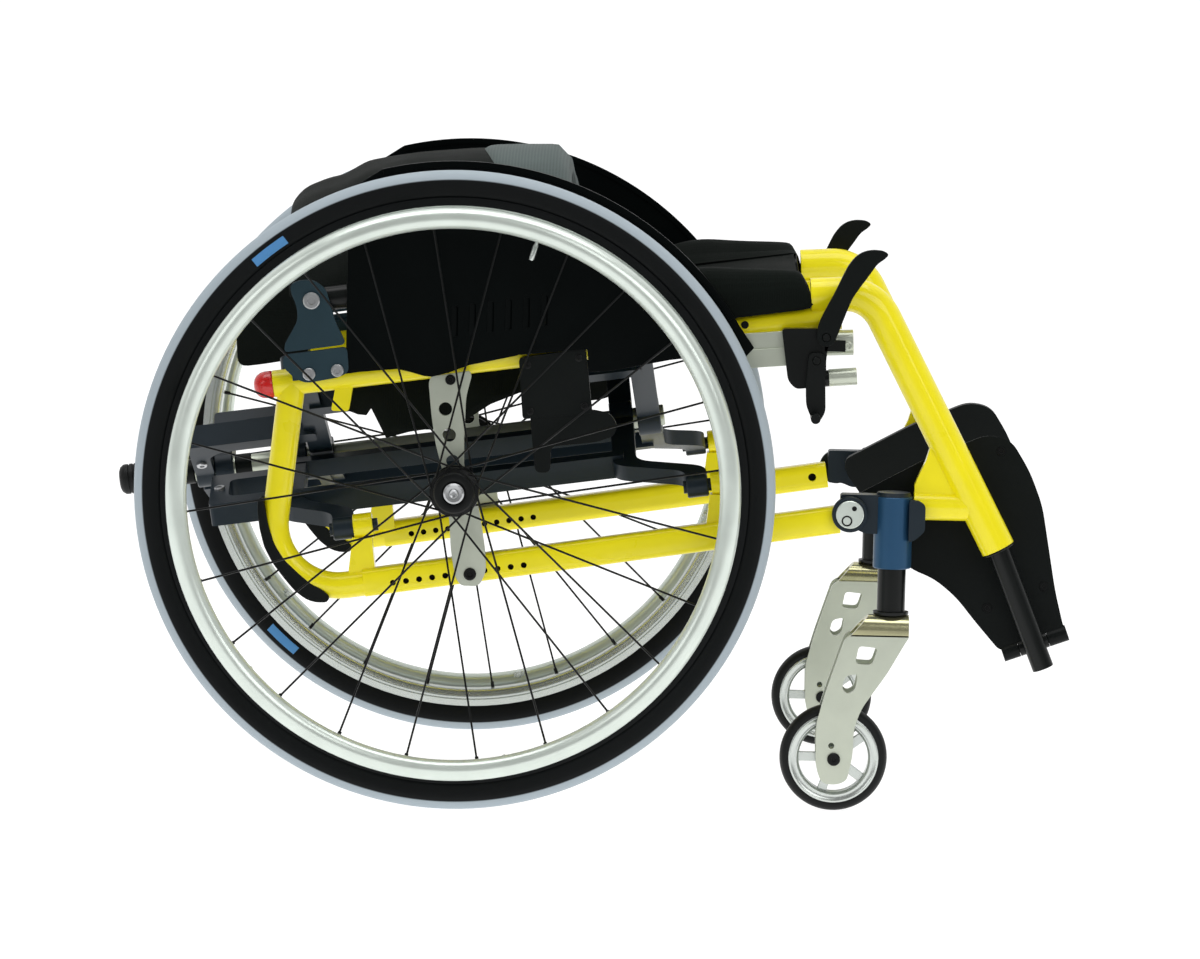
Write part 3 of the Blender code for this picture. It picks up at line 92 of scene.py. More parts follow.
LAMP_AIM = Vector((0.0, 0.0, 0.3))
floor_mesh = bmesh.new()
bmesh.ops.create_grid(floor_mesh, x_segments=1, y_segments=1, size=80.0)
floor_data = bpy.data.meshes.new("floor")
floor_mesh.to_mesh(floor_data)
floor_mesh.free()
floor = bpy.data.objects.new("floor", floor_data)
bpy.context.scene.collection.objects.link(floor)
floor_finish = bpy.data.materials.new("floor")
floor_finish.use_nodes = True
glow = floor_finish.node_tree
floor_shader = glow.nodes["Principled BSDF"]
floor_shader.inputs["Base Color"].default_value = (0.3, 0.3, 0.3, 1.0)
floor_shader.inputs["Roughness"].default_value = 1.0
floor_shader.inputs["Specular IOR Level"].default_value = 0.0
floor_shader.inputs["Emission Color"].default_value = (1.0, 1.0, 1.0, 1.0)
floor_places = glow.nodes.new("ShaderNodeTexCoord")
floor_axes = glow.nodes.new("ShaderNodeSeparateXYZ")
glow_strength = glow.nodes.new("ShaderNodeMapRange")
glow_strength.inputs["From Min"].default_value = -2.4
glow_strength.inputs["From Max"].default_value = -1.3
glow_strength.inputs["To Min"].default_value = 0.15
glow_strength.inputs["To Max"].default_value = 0.95
glow.links.new(floor_places.outputs["Object"], floor_axes.inputs["Vector"])
glow.links.new(floor_axes.outputs["Y"], glow_strength.inputs["Value"])
glow.links.new(glow_strength.outputs["Result"], floor_shader.inputs["Emission Strength"])
floor_data.materials.append(floor_finish)
bpy.context.scene.view_settings.view_transform = "Standard"

surround = bpy.data.worlds.new("surround")
surround.use_nodes = True
air = surround.node_tree
direction = air.nodes.new("ShaderNodeTexCoord")
axes = air.nodes.new("ShaderNodeSeparateXYZ")
brightness = air.nodes.new("ShaderNodeMapRange")
brightness.inputs["From Min"].default_value = -0.6
brightness.inputs["From Max"].default_value = 0.4
brightness.inputs["To Min"].default_value = 0.15
brightness.inputs["To Max"].default_value = 0.8
air.links.new(direction.outputs["Generated"], axes.inputs["Vector"])
air.links.new(axes.outputs["Y"], brightness.inputs["Value"])
air.links.new(brightness.outputs["Result"], air.nodes["Background"].inputs["Strength"])
air.nodes["Background"].inputs["Color"].default_value = (1.0, 1.0, 1.0, 1.0)
bpy.context.scene.world = surround


def soft_lamp(name, place, size, power):
    """A rectangular lamp that faces the middle of the chair."""
    lamp_data = bpy.data.lights.new(name, "AREA")
    lamp_data.shape = "RECTANGLE"
    lamp_data.size = size[0]
    lamp_data.size_y = size[1]
    lamp_data.energy = power
    lamp = bpy.data.objects.new(name, lamp_data)
    bpy.context.scene.collection.objects.link(lamp)
    lamp.location = place
    lamp.rotation_euler = (LAMP_AIM - Vector(place)).to_track_quat("-Z", "Y").to_euler()


soft_lamp("overhead_lamp", (0.0, -0.6, 3.0), (3.0, 2.0), 42.0)
soft_lamp("front_lamp", (1.6, -3.0, 1.8), (2.0, 1.6), 22.0)
soft_lamp("side_lamp", (-2.2, -2.4, 1.6), (1.6, 1.6), 12.0)

# Tyres
# Narrow high-pressure tyres of black rubber, moulded as one ring and stretched over the rim. A thin black
# ring on the outer side, over the rim's edge, is painted shade for the gap behind the push ring.
# The tread is worn to grey, and a short blue stripe is moulded into each sidewall.

WHEEL_Y = 0.275
AXLE_HEIGHT = 0.295
TYRE_RADIUS = 0.295
TYRE_HALF = 0.0125
BEAD_RADIUS = 0.2703
TREAD_START = 0.2868
TREAD_BLEND = 0.0006
STRIPE_RADIUS = 0.2782
STRIPE_HALF_HEIGHT = 0.0042
STRIPE_HALF_LENGTH = 0.018
RIGHT_STRIPE_ANGLE = 128.5
LEFT_STRIPE_ANGLE = 228.0
RIGHT_AXLE = (0.0, -WHEEL_Y, AXLE_HEIGHT)
WHEEL_STEPS = 160
ROUNDED_ABOVE = math.radians(35)


def drawn_line(bm, places, closed=False):
    """Draws edges from place to place, and gives the points and the edges."""
    points = [bm.verts.new(place) for place in places]
    pairs = list(zip(points, points[1:]))
    if closed:
        pairs.append((points[-1], points[0]))
    return points, [bm.edges.new(pair) for pair in pairs]


def along_axis(centre, axis):
    """The matrix that takes a shape drawn up Z to a centre and along an axis."""
    return Matrix.Translation(centre) @ Vector(axis).to_track_quat("Z", "Y").to_matrix().to_4x4()


def turned(bm, profile, centre, axis=(0.0, -1.0, 0.0), steps=48, closed=False):
    """Turns (radius, height) points about an axis, which points outwards on the right if none is given."""
    place = along_axis(centre, axis)
    places = [place @ Vector((radius, 0.0, height)) for radius, height in profile]
    points, edges = drawn_line(bm, places, closed)
    bmesh.ops.spin(bm, geom=points + edges, cent=centre, axis=axis, angle=math.tau, steps=steps,
                   use_merge=True)


def both_sides(profile):
    """A ring's outer profile with its mirror image added. A point in the middle stays single."""
    return profile + [(radius, -out) for radius, out in reversed(profile) if out > 0.0]


def make_piece(name, bm, body, finish, slot, stands_for=(), edge=0.0, soften=35, second=None):
    """Makes a mesh, drawn with the main axle at x = 0, a piece of the chair that moves with its body.

    Its edges are rounded by the width given, and shaded smooth up to the angle given in degrees.
    """
    bmesh.ops.remove_doubles(bm, verts=bm.verts, dist=0.00001)
    bmesh.ops.recalc_face_normals(bm, faces=bm.faces)
    bmesh.ops.translate(bm, vec=(AXLE_X, 0.0, 0.0), verts=bm.verts)
    mesh = bpy.data.meshes.new(name)
    bm.to_mesh(mesh)
    bm.free()
    mesh.materials.append(finish)
    if second:
        mesh.materials.append(second)
    mesh.shade_smooth()
    mesh.set_sharp_from_angle(angle=math.radians(soften))
    piece = bpy.data.objects.new(name, mesh)
    bpy.context.scene.collection.objects.link(piece)
    if edge:
        rounding = piece.modifiers.new("rounded edges", "BEVEL")
        rounding.width = edge
        rounding.segments = 2
        rounding.limit_method = "ANGLE"
        rounding.angle_limit = ROUNDED_ABOVE
        rounding.harden_normals = True
    if body:
        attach(piece, body)
    if stands_for:
        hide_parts(*stands_for)
    return piece


def make_pair(name, bm, body, finish, slot, stands_for=(), left_finish=None, **options):
    """Makes the right-hand piece and its mirror image on the left."""
    twin = bm.copy()
    bmesh.ops.scale(twin, vec=(1.0, -1.0, 1.0), verts=twin.verts)
    right_nodes = [f"right_{node}" for node in stands_for]
    left_nodes = [f"left_{node}" for node in stands_for]
    make_piece(f"right_{name}", bm, f"right_{body}", finish, slot, right_nodes, **options)
    make_piece(f"left_{name}", twin, f"left_{body}", left_finish or finish, slot, left_nodes, **options)


def surface(name, colour, roughness, metallic=0.0, coat=0.0, specular=0.5, sheen=0.0,
            grain=0.25, grain_size=0.0012, mottle=0.05, mottle_size=0.03):
    """A finish with a fine grain in its relief and a slow change of shade across it."""
    made = bpy.data.materials.new(name)
    made.use_nodes = True
    tree = made.node_tree
    shader = tree.nodes["Principled BSDF"]
    shader.inputs["Metallic"].default_value = metallic
    shader.inputs["Coat Weight"].default_value = coat
    shader.inputs["Coat Roughness"].default_value = 0.06
    shader.inputs["Specular IOR Level"].default_value = specular
    shader.inputs["Sheen Weight"].default_value = sheen
    places = tree.nodes.new("ShaderNodeTexCoord")
    patches = tree.nodes.new("ShaderNodeTexNoise")
    patches.inputs["Scale"].default_value = 1.0 / mottle_size
    patches.inputs["Detail"].default_value = 4.0
    shade = tree.nodes.new("ShaderNodeMapRange")
    shade.inputs["From Min"].default_value = 0.3
    shade.inputs["From Max"].default_value = 0.7
    shade.inputs["To Min"].default_value = 1.0 - mottle
    shade.inputs["To Max"].default_value = 1.0 + mottle
    tint = tree.nodes.new("ShaderNodeHueSaturation")
    tint.name = "tint"
    tint.inputs["Color"].default_value = (*colour, 1.0)
    wear = tree.nodes.new("ShaderNodeMath")
    wear.operation = "MULTIPLY"
    wear.inputs[1].default_value = roughness
    fine = tree.nodes.new("ShaderNodeTexNoise")
    fine.inputs["Scale"].default_value = 1.0 / grain_size
    relief = tree.nodes.new("ShaderNodeBump")
    relief.name = "relief"
    relief.inputs["Strength"].default_value = grain
    relief.inputs["Distance"].default_value = 0.0002
    tree.links.new(places.outputs["Object"], patches.inputs["Vector"])
    tree.links.new(places.outputs["Object"], fine.inputs["Vector"])
    tree.links.new(patches.outputs["Fac"], shade.inputs["Value"])
    tree.links.new(shade.outputs["Result"], tint.inputs["Value"])
    tree.links.new(shade.outputs["Result"], wear.inputs[0])
    tree.links.new(tint.outputs["Color"], shader.inputs["Base Color"])
    tree.links.new(wear.outputs["Value"], shader.inputs["Roughness"])
    tree.links.new(fine.outputs["Fac"], relief.inputs["Height"])
    tree.links.new(relief.outputs["Normal"], shader.inputs["Normal"])
    return made


def calculation(tree, operation, first, second=None, third=None):
    """A Math or Vector Math node, whose inputs are sockets or plain values. Gives its output."""
    vector = operation in ("DOT_PRODUCT", "LENGTH")
    node = tree.nodes.new("ShaderNodeVectorMath" if vector else "ShaderNodeMath")
    node.operation = operation
    for socket, given in zip(node.inputs, (first, second, third)):
        if isinstance(given, bpy.types.NodeSocket):
            tree.links.new(given, socket)
        elif given is not None:
            socket.default_value = given
    return node.outputs["Value"]


def painted_over(tree, base, colour, share):
    """Lays a plain colour over a base colour where the share is 1, and gives the output."""
    mix = tree.nodes.new("ShaderNodeMix")
    mix.data_type = "RGBA"
    mix.inputs["B"].default_value = (*colour, 1.0)
    tree.links.new(base, mix.inputs["A"])
    tree.links.new(share, mix.inputs["Factor"])
    return mix.outputs["Result"]


def tyre_rubber(name, stripe_angle):
    """Black rubber with a grey tread band and one blue stripe, both placed from the wheel's axle."""
    made = surface(name, (0.0030, 0.0040, 0.0045), 0.5, specular=0.16, grain=0.4, grain_size=0.0009)
    tree = made.node_tree
    places = tree.nodes.new("ShaderNodeTexCoord")
    from_axle = tree.nodes.new("ShaderNodeMapping")
    from_axle.inputs["Location"].default_value = (-AXLE_X, 0.0, -AXLE_HEIGHT)
    tree.links.new(places.outputs["Object"], from_axle.inputs["Vector"])
    flat = tree.nodes.new("ShaderNodeVectorMath")
    flat.operation = "MULTIPLY"
    flat.inputs[1].default_value = (1.0, 0.0, 1.0)
    tree.links.new(from_axle.outputs["Vector"], flat.inputs[0])
    spot = flat.outputs["Vector"]
    radius = calculation(tree, "LENGTH", spot)
    angle = math.radians(stripe_angle)
    outwards = calculation(tree, "DOT_PRODUCT", spot, (math.cos(angle), 0.0, math.sin(angle)))
    aside = calculation(tree, "DOT_PRODUCT", spot, (-math.sin(angle), 0.0, math.cos(angle)))
    in_height = calculation(tree, "COMPARE", radius, STRIPE_RADIUS, STRIPE_HALF_HEIGHT)
    in_length = calculation(tree, "COMPARE", aside, 0.0, STRIPE_HALF_LENGTH)
    in_front = calculation(tree, "GREATER_THAN", outwards, 0.0)
    in_band = calculation(tree, "MULTIPLY", in_height, in_length)
    in_stripe = calculation(tree, "MULTIPLY", in_band, in_front)
    tread = tree.nodes.new("ShaderNodeMapRange")
    tread.inputs["From Min"].default_value = TREAD_START - TREAD_BLEND
    tread.inputs["From Max"].default_value = TREAD_START + TREAD_BLEND
    tree.links.new(radius, tread.inputs["Value"])
    rubber = tree.nodes["tint"].outputs["Color"]
    worn = painted_over(tree, rubber, (0.41, 0.475, 0.52), tread.outputs["Result"])
    marked = painted_over(tree, worn, (0.10, 0.30, 0.62), in_stripe)
    tree.links.new(marked, tree.nodes["Principled BSDF"].inputs["Base Color"])
    return made


sidewall = [(BEAD_RADIUS, 0.0086), (0.2735, 0.0103), (0.2780, 0.0117)]
for step in range(10):
    lean = math.radians(90 - 10 * step)
    sidewall.append((TYRE_RADIUS - TYRE_HALF + TYRE_HALF * math.cos(lean), TYRE_HALF * math.sin(lean)))
tyre = bmesh.new()
turned(tyre, both_sides(sidewall), RIGHT_AXLE, steps=WHEEL_STEPS, closed=True)
# Painted shade: a thin ring of the tyre's black rubber over the rim's outer edge, for the shade behind the
# push ring.
rim_shade_ring = [(BEAD_RADIUS, 0.0092), (BEAD_RADIUS, 0.0104), (0.2648, 0.0108), (0.2630, 0.0104), (0.2630, 0.0099)]
turned(tyre, rim_shade_ring, RIGHT_AXLE, steps=WHEEL_STEPS, closed=True)
right_rubber = tyre_rubber("right tyre rubber", RIGHT_STRIPE_ANGLE)
left_rubber = tyre_rubber("left tyre rubber", LEFT_STRIPE_ANGLE)
make_pair("wheel_tyre", tyre, "wheel", right_rubber, "tyre_rubber", ("tyre",), left_finish=left_rubber)

# Rims
# Double-walled rims, rolled from an aluminium section with a groove in each side and polished. The inner
# tube's valve comes through the rim towards the hub, held by its nut.

VALVE_WAY = (0.294, 0.0, 0.956)
SILVER = surface("silver aluminium", (0.64, 0.68, 0.65), 0.26, metallic=0.8, grain=0.04, grain_size=0.0006,
                 mottle=0.03)
rim = bmesh.new()
rim_side = [(0.2700, 0.0098), (0.2640, 0.0098), (0.2630, 0.0080), (0.2612, 0.0080), (0.2602, 0.0093),
            (0.2560, 0.0080), (0.2532, 0.0052), (0.2525, 0.0025)]
turned(rim, both_sides(rim_side), RIGHT_AXLE, steps=WHEEL_STEPS, closed=True)
make_pair("wheel_rim", rim, "wheel", SILVER, "silver_aluminium", ("rim",))
valve = bmesh.new()
turned(valve, [(0.0, 0.2236), (0.0021, 0.2238), (0.0026, 0.2262), (0.0026, 0.2380), (0.0019, 0.2392),
               (0.0019, 0.2560), (0.0, 0.2560)], RIGHT_AXLE, axis=VALVE_WAY, steps=16)
make_pair("tyre_valve", valve, "wheel", SILVER, "silver_aluminium")

# Spokes and hubs
# Twenty-four black steel wires, hooked into the two flanges of a machined hub and drawn tight by nipples
# in the rim. Half of them lean each way. The hub's outer cap is black, round the head of the axle.

SPOKES = 24
SPOKE_TURN = math.radians(5.85)
SPOKE_LEAD = math.radians(62)
SPOKE_RADIUS = 0.0010
SPOKE_END = 0.2515
SPOKE_END_SHARE = 0.12
NIPPLE_RADIUS = 0.0018
NIPPLE_HEAD, NIPPLE_FOOT = 0.2530, 0.2475
NIPPLE_SHARE = 0.13
OUTER_FLANGE = (0.0212, 0.0120)
INNER_FLANGE = (0.0192, -0.0162)
HOOK = 0.0016


def bar(bm, start, end, radius, sides=16):
    """A round bar from start to end."""
    start = Vector(start)
    along = Vector(end) - start
    bmesh.ops.create_cone(bm, cap_ends=True, segments=sides, radius1=radius, radius2=radius,
                          depth=along.length, matrix=along_axis(start + along / 2, along))


def on_wheel(radius, angle, out):
    """A place on the right wheel, at a radius and an angle from the axle and out from its middle."""
    return (radius * math.cos(angle), -WHEEL_Y - out, AXLE_HEIGHT + radius * math.sin(angle))


BLACK_STEEL = surface("black steel", (0.0040, 0.0048, 0.0048), 0.35, metallic=0.15, specular=0.22)
hub = bmesh.new()
turned(hub, [(0.0064, -0.0235), (0.0145, -0.0235), (0.0145, -0.0180), (0.0222, -0.0178), (0.0226, -0.0166),
             (0.0222, -0.0146), (0.0150, -0.0138), (0.0135, -0.0110), (0.0135, 0.0080), (0.0150, 0.0098),
             (0.0226, 0.0104), (0.0230, 0.0120), (0.0226, 0.0136), (0.0192, 0.0146), (0.0190, 0.0222),
             (0.0176, 0.0240), (0.0150, 0.0246), (0.0110, 0.0240), (0.0104, 0.0225), (0.0064, 0.0225)],
       RIGHT_AXLE, steps=64, closed=True)
for index in range(SPOKES):
    outer = index % 2 == 1
    rim_angle = math.tau * index / SPOKES + SPOKE_TURN
    flange_angle = rim_angle + (SPOKE_LEAD if outer else -SPOKE_LEAD)
    flange_radius, flange_out = OUTER_FLANGE if outer else INNER_FLANGE
    start = on_wheel(flange_radius, flange_angle, flange_out + (HOOK if outer else -HOOK))
    bar(hub, start, on_wheel(SPOKE_END, rim_angle, flange_out * SPOKE_END_SHARE), SPOKE_RADIUS, 8)
    nipple_foot = on_wheel(NIPPLE_FOOT, rim_angle, flange_out * NIPPLE_SHARE)
    bar(hub, on_wheel(NIPPLE_HEAD, rim_angle, 0.0), nipple_foot, NIPPLE_RADIUS, 8)
make_pair("wheel_spokes", hub, "wheel", BLACK_STEEL, "black_metal", ("spoked_hub",))

# Handrims
# A tube of anodised aluminium, bent to a ring and welded. Six short angle brackets, screwed to the rim,
# carry it beside the wheel.

HANDRIM_RADIUS = 0.2533
HANDRIM_TUBE = 0.00975
HANDRIM_OUT = 0.042
HANDRIM_TABS = 6
TAB_TURN = math.radians(-18)
TAB_WIDTH = 0.0110
TAB_SCREW = 0.2475
RING_STEPS = 24


def block(bm, centre, size, turn=None):
    """A box about its centre, turned by the matrix that is given."""
    place = Matrix.Translation(centre) @ (turn or Matrix()) @ Matrix.Diagonal((*size, 1.0))
    bmesh.ops.create_cube(bm, size=1.0, matrix=place)


PALE_SILVER = surface("pale anodised aluminium", (0.72, 0.79, 0.73), 0.26, metallic=0.5, grain=0.06)
handrim = bmesh.new()
ring = [(HANDRIM_RADIUS + HANDRIM_TUBE * math.cos(math.tau * step / RING_STEPS),
         HANDRIM_OUT + HANDRIM_TUBE * math.sin(math.tau * step / RING_STEPS)) for step in range(RING_STEPS)]
turned(handrim, ring, RIGHT_AXLE, steps=WHEEL_STEPS, closed=True)
make_pair("push_ring", handrim, "wheel", PALE_SILVER, "silver_aluminium", ("handrim",))
tabs = bmesh.new()
for index in range(HANDRIM_TABS):
    angle = math.tau * index / HANDRIM_TABS + TAB_TURN
    facing = Matrix.Rotation(-angle, 4, "Y")
    block(tabs, on_wheel(0.2560, angle, 0.0225), (0.0035, 0.0265, TAB_WIDTH), facing)
    block(tabs, on_wheel(0.2505, angle, 0.0345), (0.0110, 0.0030, TAB_WIDTH), facing)
    bar(tabs, on_wheel(TAB_SCREW, angle, 0.0375), on_wheel(TAB_SCREW, angle, 0.0290), 0.0032, 12)
make_pair("push_ring_brackets", tabs, "wheel", SILVER, "silver_aluminium", edge=0.0008)

# Axles
# Quick-release axles of plated steel: a round head with a hexagonal socket, and the button in its middle
# that lets the balls at the far end go.

STEEL = surface("plated steel", (0.50, 0.51, 0.52), 0.28, metallic=0.9, grain=0.08)
axle = bmesh.new()
turned(axle, [(0.0, 0.0200), (0.0045, 0.0200), (0.0045, 0.0281), (0.0078, 0.0284), (0.0095, 0.0272),
              (0.0095, 0.0251), (0.0060, 0.0251), (0.0060, -0.0410), (0.0, -0.0410)], RIGHT_AXLE, steps=40)
make_pair("wheel_axle", axle, "frame", STEEL, "steel", ("axle",))
button = bmesh.new()
turned(button, [(0.0, 0.0288), (0.0016, 0.0288), (0.0020, 0.0302), (0.0034, 0.0306), (0.0042, 0.0298),
                (0.0042, 0.0236), (0.0, 0.0236)], RIGHT_AXLE, steps=32)
make_pair("release_button", button, "axle_button", STEEL, "steel", ("axle_button",))

# Side frames
# Aluminium tubes, bent and welded, in a glossy lemon-yellow powder coat. The upper rail carries the seat,
# the rear post bends into the drilled lower rail, and the thick front leg is welded to both through a web.

FRAME_Y = 0.220
SLOPE = math.radians(8.2)
LOWER_SLOPE = math.radians(9.0)
SLOPE_WAY = Vector((math.cos(SLOPE), 0.0, math.sin(SLOPE)))
RAIL_RADIUS = 0.0125
RAIL_END, RAIL_JOINT = -0.1715, 0.352
RAIL_POINT = (0.080, 0.4215)
LOWER_RAIL_POINT = (0.120, 0.2345)
POST_TOP, POST_CORNER, POST_END = -0.154, -0.175, -0.060
POST_BEND = 0.058
LEG_TOP = (0.324, 0.4789)
LEG_KNEE = (0.3804, 0.4823)
LEG_FOOT = (0.5037, 0.2474)
LEG_RADIUS = 0.016
LEG_BEND = 0.040
STRUT_HEIGHT = 0.286
STRUT_RADIUS = 0.0135
WEB_HALF = 0.0065
LOWER_RAIL_REAR, LOWER_RAIL_FRONT = -0.084, 0.3550
LOWER_RAIL_WIDTH = 0.025
LOWER_RAIL_DEPTH = 0.0254
HOLE_REAR = -0.0572
HOLE_PITCH = 0.0121
HOLES = 11
SINK = 0.004
LUG_PLACES = (-0.086, 0.2450)
PIVOT_Y = 0.215
PIN_HEIGHT = 0.2669


def rail_height(x):
    """Height of the upper rail's middle line, which climbs forwards."""
    return RAIL_POINT[1] + (x - RAIL_POINT[0]) * math.tan(SLOPE)


def lower_rail_height(x):
    """Height of the lower rail's middle line, which climbs a little more."""
    return LOWER_RAIL_POINT[1] + (x - LOWER_RAIL_POINT[0]) * math.tan(LOWER_SLOPE)


def on_frame(x, z):
    """A place in the middle plane of the right frame."""
    return (x, -FRAME_Y, z)


def on_rail(x):
    """A place on the upper rail's middle line."""
    return on_frame(x, rail_height(x))


def rounded(corners, radius, steps=5):
    """An (x, z) outline in which every corner is a short curve."""
    outline = []
    for index, corner in enumerate(corners):
        here = Vector(corner)
        back = Vector(corners[index - 1]) - here
        ahead = Vector(corners[(index + 1) % len(corners)]) - here
        reach = min(radius, 0.46 * back.length, 0.46 * ahead.length)
        start = here + back.normalized() * reach
        end = here + ahead.normalized() * reach
        for step in range(steps + 1):
            share = step / steps
            outline.append(start * (1 - share) ** 2 + here * 2 * share * (1 - share) + end * share ** 2)
    return outline


def plate(bm, outline, outer, thickness, holes=(), turn=None):
    """A flat piece with an (x, z) outline, from its outer face at y = -outer inwards by its thickness."""
    place = turn or Matrix()
    border = []
    for loop in (outline, *holes):
        points, edges = drawn_line(bm, [place @ Vector((x, -outer, z)) for x, z in loop], closed=True)
        border += edges
    filled = bmesh.ops.triangle_fill(bm, use_beauty=True, edges=border)
    faces = [item for item in filled["geom"] if isinstance(item, bmesh.types.BMFace)]
    moved = bmesh.ops.extrude_face_region(bm, geom=faces)
    inner = [item for item in moved["geom"] if isinstance(item, bmesh.types.BMVert)]
    bmesh.ops.translate(bm, vec=place.to_3x3() @ Vector((0.0, thickness, 0.0)), verts=inner)


def circle(x, z, radius, steps=24):
    """A round (x, z) outline."""
    return [(x + radius * math.cos(math.tau * step / steps), z + radius * math.sin(math.tau * step / steps))
            for step in range(steps)]


def pulled(bm, edges):
    """Extrudes a line of edges where it lies, and gives the new points and the new edges between them."""
    drawn = bmesh.ops.extrude_edge_only(bm, edges=edges)["geom"]
    points = [item for item in drawn if isinstance(item, bmesh.types.BMVert)]
    line = [item for item in drawn if isinstance(item, bmesh.types.BMEdge)
            and item.verts[0] in points and item.verts[1] in points]
    return points, line


def bent_tube(bm, corners, radius, bend=0.0, sides=32, steps=14):
    """A tube run straight between its corners and turned round a bend at each corner on the way."""
    corners = [Vector(corner) for corner in corners]
    heading = (corners[1] - corners[0]).normalized()
    place = along_axis(corners[0], heading)
    ends = bmesh.ops.create_circle(bm, segments=sides, radius=radius, matrix=place)["verts"]
    line = list({edge for point in ends for edge in point.link_edges})
    bmesh.ops.contextual_create(bm, geom=line)
    here = corners[0]
    for index in range(1, len(corners)):
        corner = corners[index]
        last = index == len(corners) - 1
        after = heading if last else (corners[index + 1] - corner).normalized()
        turn = heading.angle(after)
        stop = corner - heading * bend * math.tan(turn / 2)
        points, line = pulled(bm, line)
        bmesh.ops.translate(bm, vec=stop - here, verts=points)
        if not last:
            axis = heading.cross(after).normalized()
            centre = stop + axis.cross(heading) * bend
            spun = bmesh.ops.spin(bm, geom=line, cent=centre, axis=axis, angle=turn, steps=steps)
            line = [item for item in spun["geom_last"] if isinstance(item, bmesh.types.BMEdge)]
            here = corner + after * bend * math.tan(turn / 2)
            heading = after
    bmesh.ops.contextual_create(bm, geom=line)


YELLOW = surface("yellow powder coat", (0.99, 0.86, 0.006), 0.28, coat=0.5, specular=0.28,
                 grain=0.15, grain_size=0.0022, mottle=0.03)
# Painted shade: this black finish on the floors of the rail's holes stands for the dark inside of the tube.
PAINTED_HOLE_SHADE = surface("painted shade in rail holes", (0.004, 0.004, 0.005), 0.8, specular=0.1)
frame_tubes = bmesh.new()
bent_tube(frame_tubes, [on_rail(RAIL_END), on_rail(RAIL_JOINT)], RAIL_RADIUS)
rear_post = [on_rail(POST_TOP), on_frame(POST_CORNER, lower_rail_height(POST_CORNER)),
             on_frame(POST_END, lower_rail_height(POST_END))]
bent_tube(frame_tubes, rear_post, RAIL_RADIUS, POST_BEND)
front_leg = [on_frame(*LEG_TOP), on_frame(*LEG_KNEE), on_frame(*LEG_FOOT)]
bent_tube(frame_tubes, front_leg, LEG_RADIUS, LEG_BEND, sides=40)
bent_tube(frame_tubes, [on_frame(0.4242, STRUT_HEIGHT), on_frame(0.482, STRUT_HEIGHT)], STRUT_RADIUS)
make_pair("frame_tubes", frame_tubes, "frame", YELLOW, "yellow_paint", ("side_frame",), edge=0.0006)

frame_webs = bmesh.new()
web = [(0.4245, 0.2900), (0.4245, 0.3055), (0.4290, 0.3165), (0.4343, 0.3278), (0.4378, 0.3400),
       (0.4385, 0.3600), (0.4350, 0.3800), (0.4500, 0.3600), (0.4800, 0.2900)]
plate(frame_webs, web, FRAME_Y + WEB_HALF, 2 * WEB_HALF)
under_web = [(0.4600, 0.2810), (0.4640, 0.2745), (0.4740, 0.2765), (0.4800, 0.2720), (0.4860, 0.2600),
             (0.4960, 0.2600), (0.4880, 0.2850)]
plate(frame_webs, under_web, FRAME_Y + WEB_HALF, 2 * WEB_HALF)
rear_tab = [(-0.1175, 0.3620), (-0.1010, 0.3620), (-0.0960, 0.3950), (-0.1120, 0.3950)]
plate(frame_webs, rounded(rear_tab, 0.003), FRAME_Y + 0.006, 0.012)
eye_ring = [(0.0062, -0.009), (0.0112, -0.009), (0.012, -0.0082), (0.012, 0.0082), (0.0112, 0.009),
            (0.0062, 0.009)]
for place in LUG_PLACES:
    eye_height = PIN_HEIGHT + place * math.tan(SLOPE)
    turned(frame_webs, eye_ring, (place, -PIVOT_Y, eye_height), axis=SLOPE_WAY, steps=32, closed=True)
    foot = lower_rail_height(place) + 0.006
    lug = [(place - 0.013, foot), (place - 0.0095, eye_height - 0.010), (place + 0.0085, eye_height - 0.010),
           (place + 0.013, foot)]
    plate(frame_webs, lug, PIVOT_Y + 0.0105, 0.021)
make_pair("frame_webs", frame_webs, "frame", YELLOW, "yellow_paint", edge=0.0015)

rail = bmesh.new()
rail_middle = (LOWER_RAIL_REAR + LOWER_RAIL_FRONT) / 2
rail_length = (LOWER_RAIL_FRONT - LOWER_RAIL_REAR) / math.cos(LOWER_SLOPE)
rail_size = Matrix.Diagonal((rail_length, LOWER_RAIL_WIDTH, LOWER_RAIL_DEPTH, 1.0))
bmesh.ops.create_cube(rail, size=1.0, matrix=rail_size)
long_edges = [edge for edge in rail.edges if abs(edge.verts[0].co.x - edge.verts[1].co.x) > 0.1]
bmesh.ops.bevel(rail, geom=long_edges, offset=0.006, segments=5, profile=0.5, affect="EDGES", material=-1)
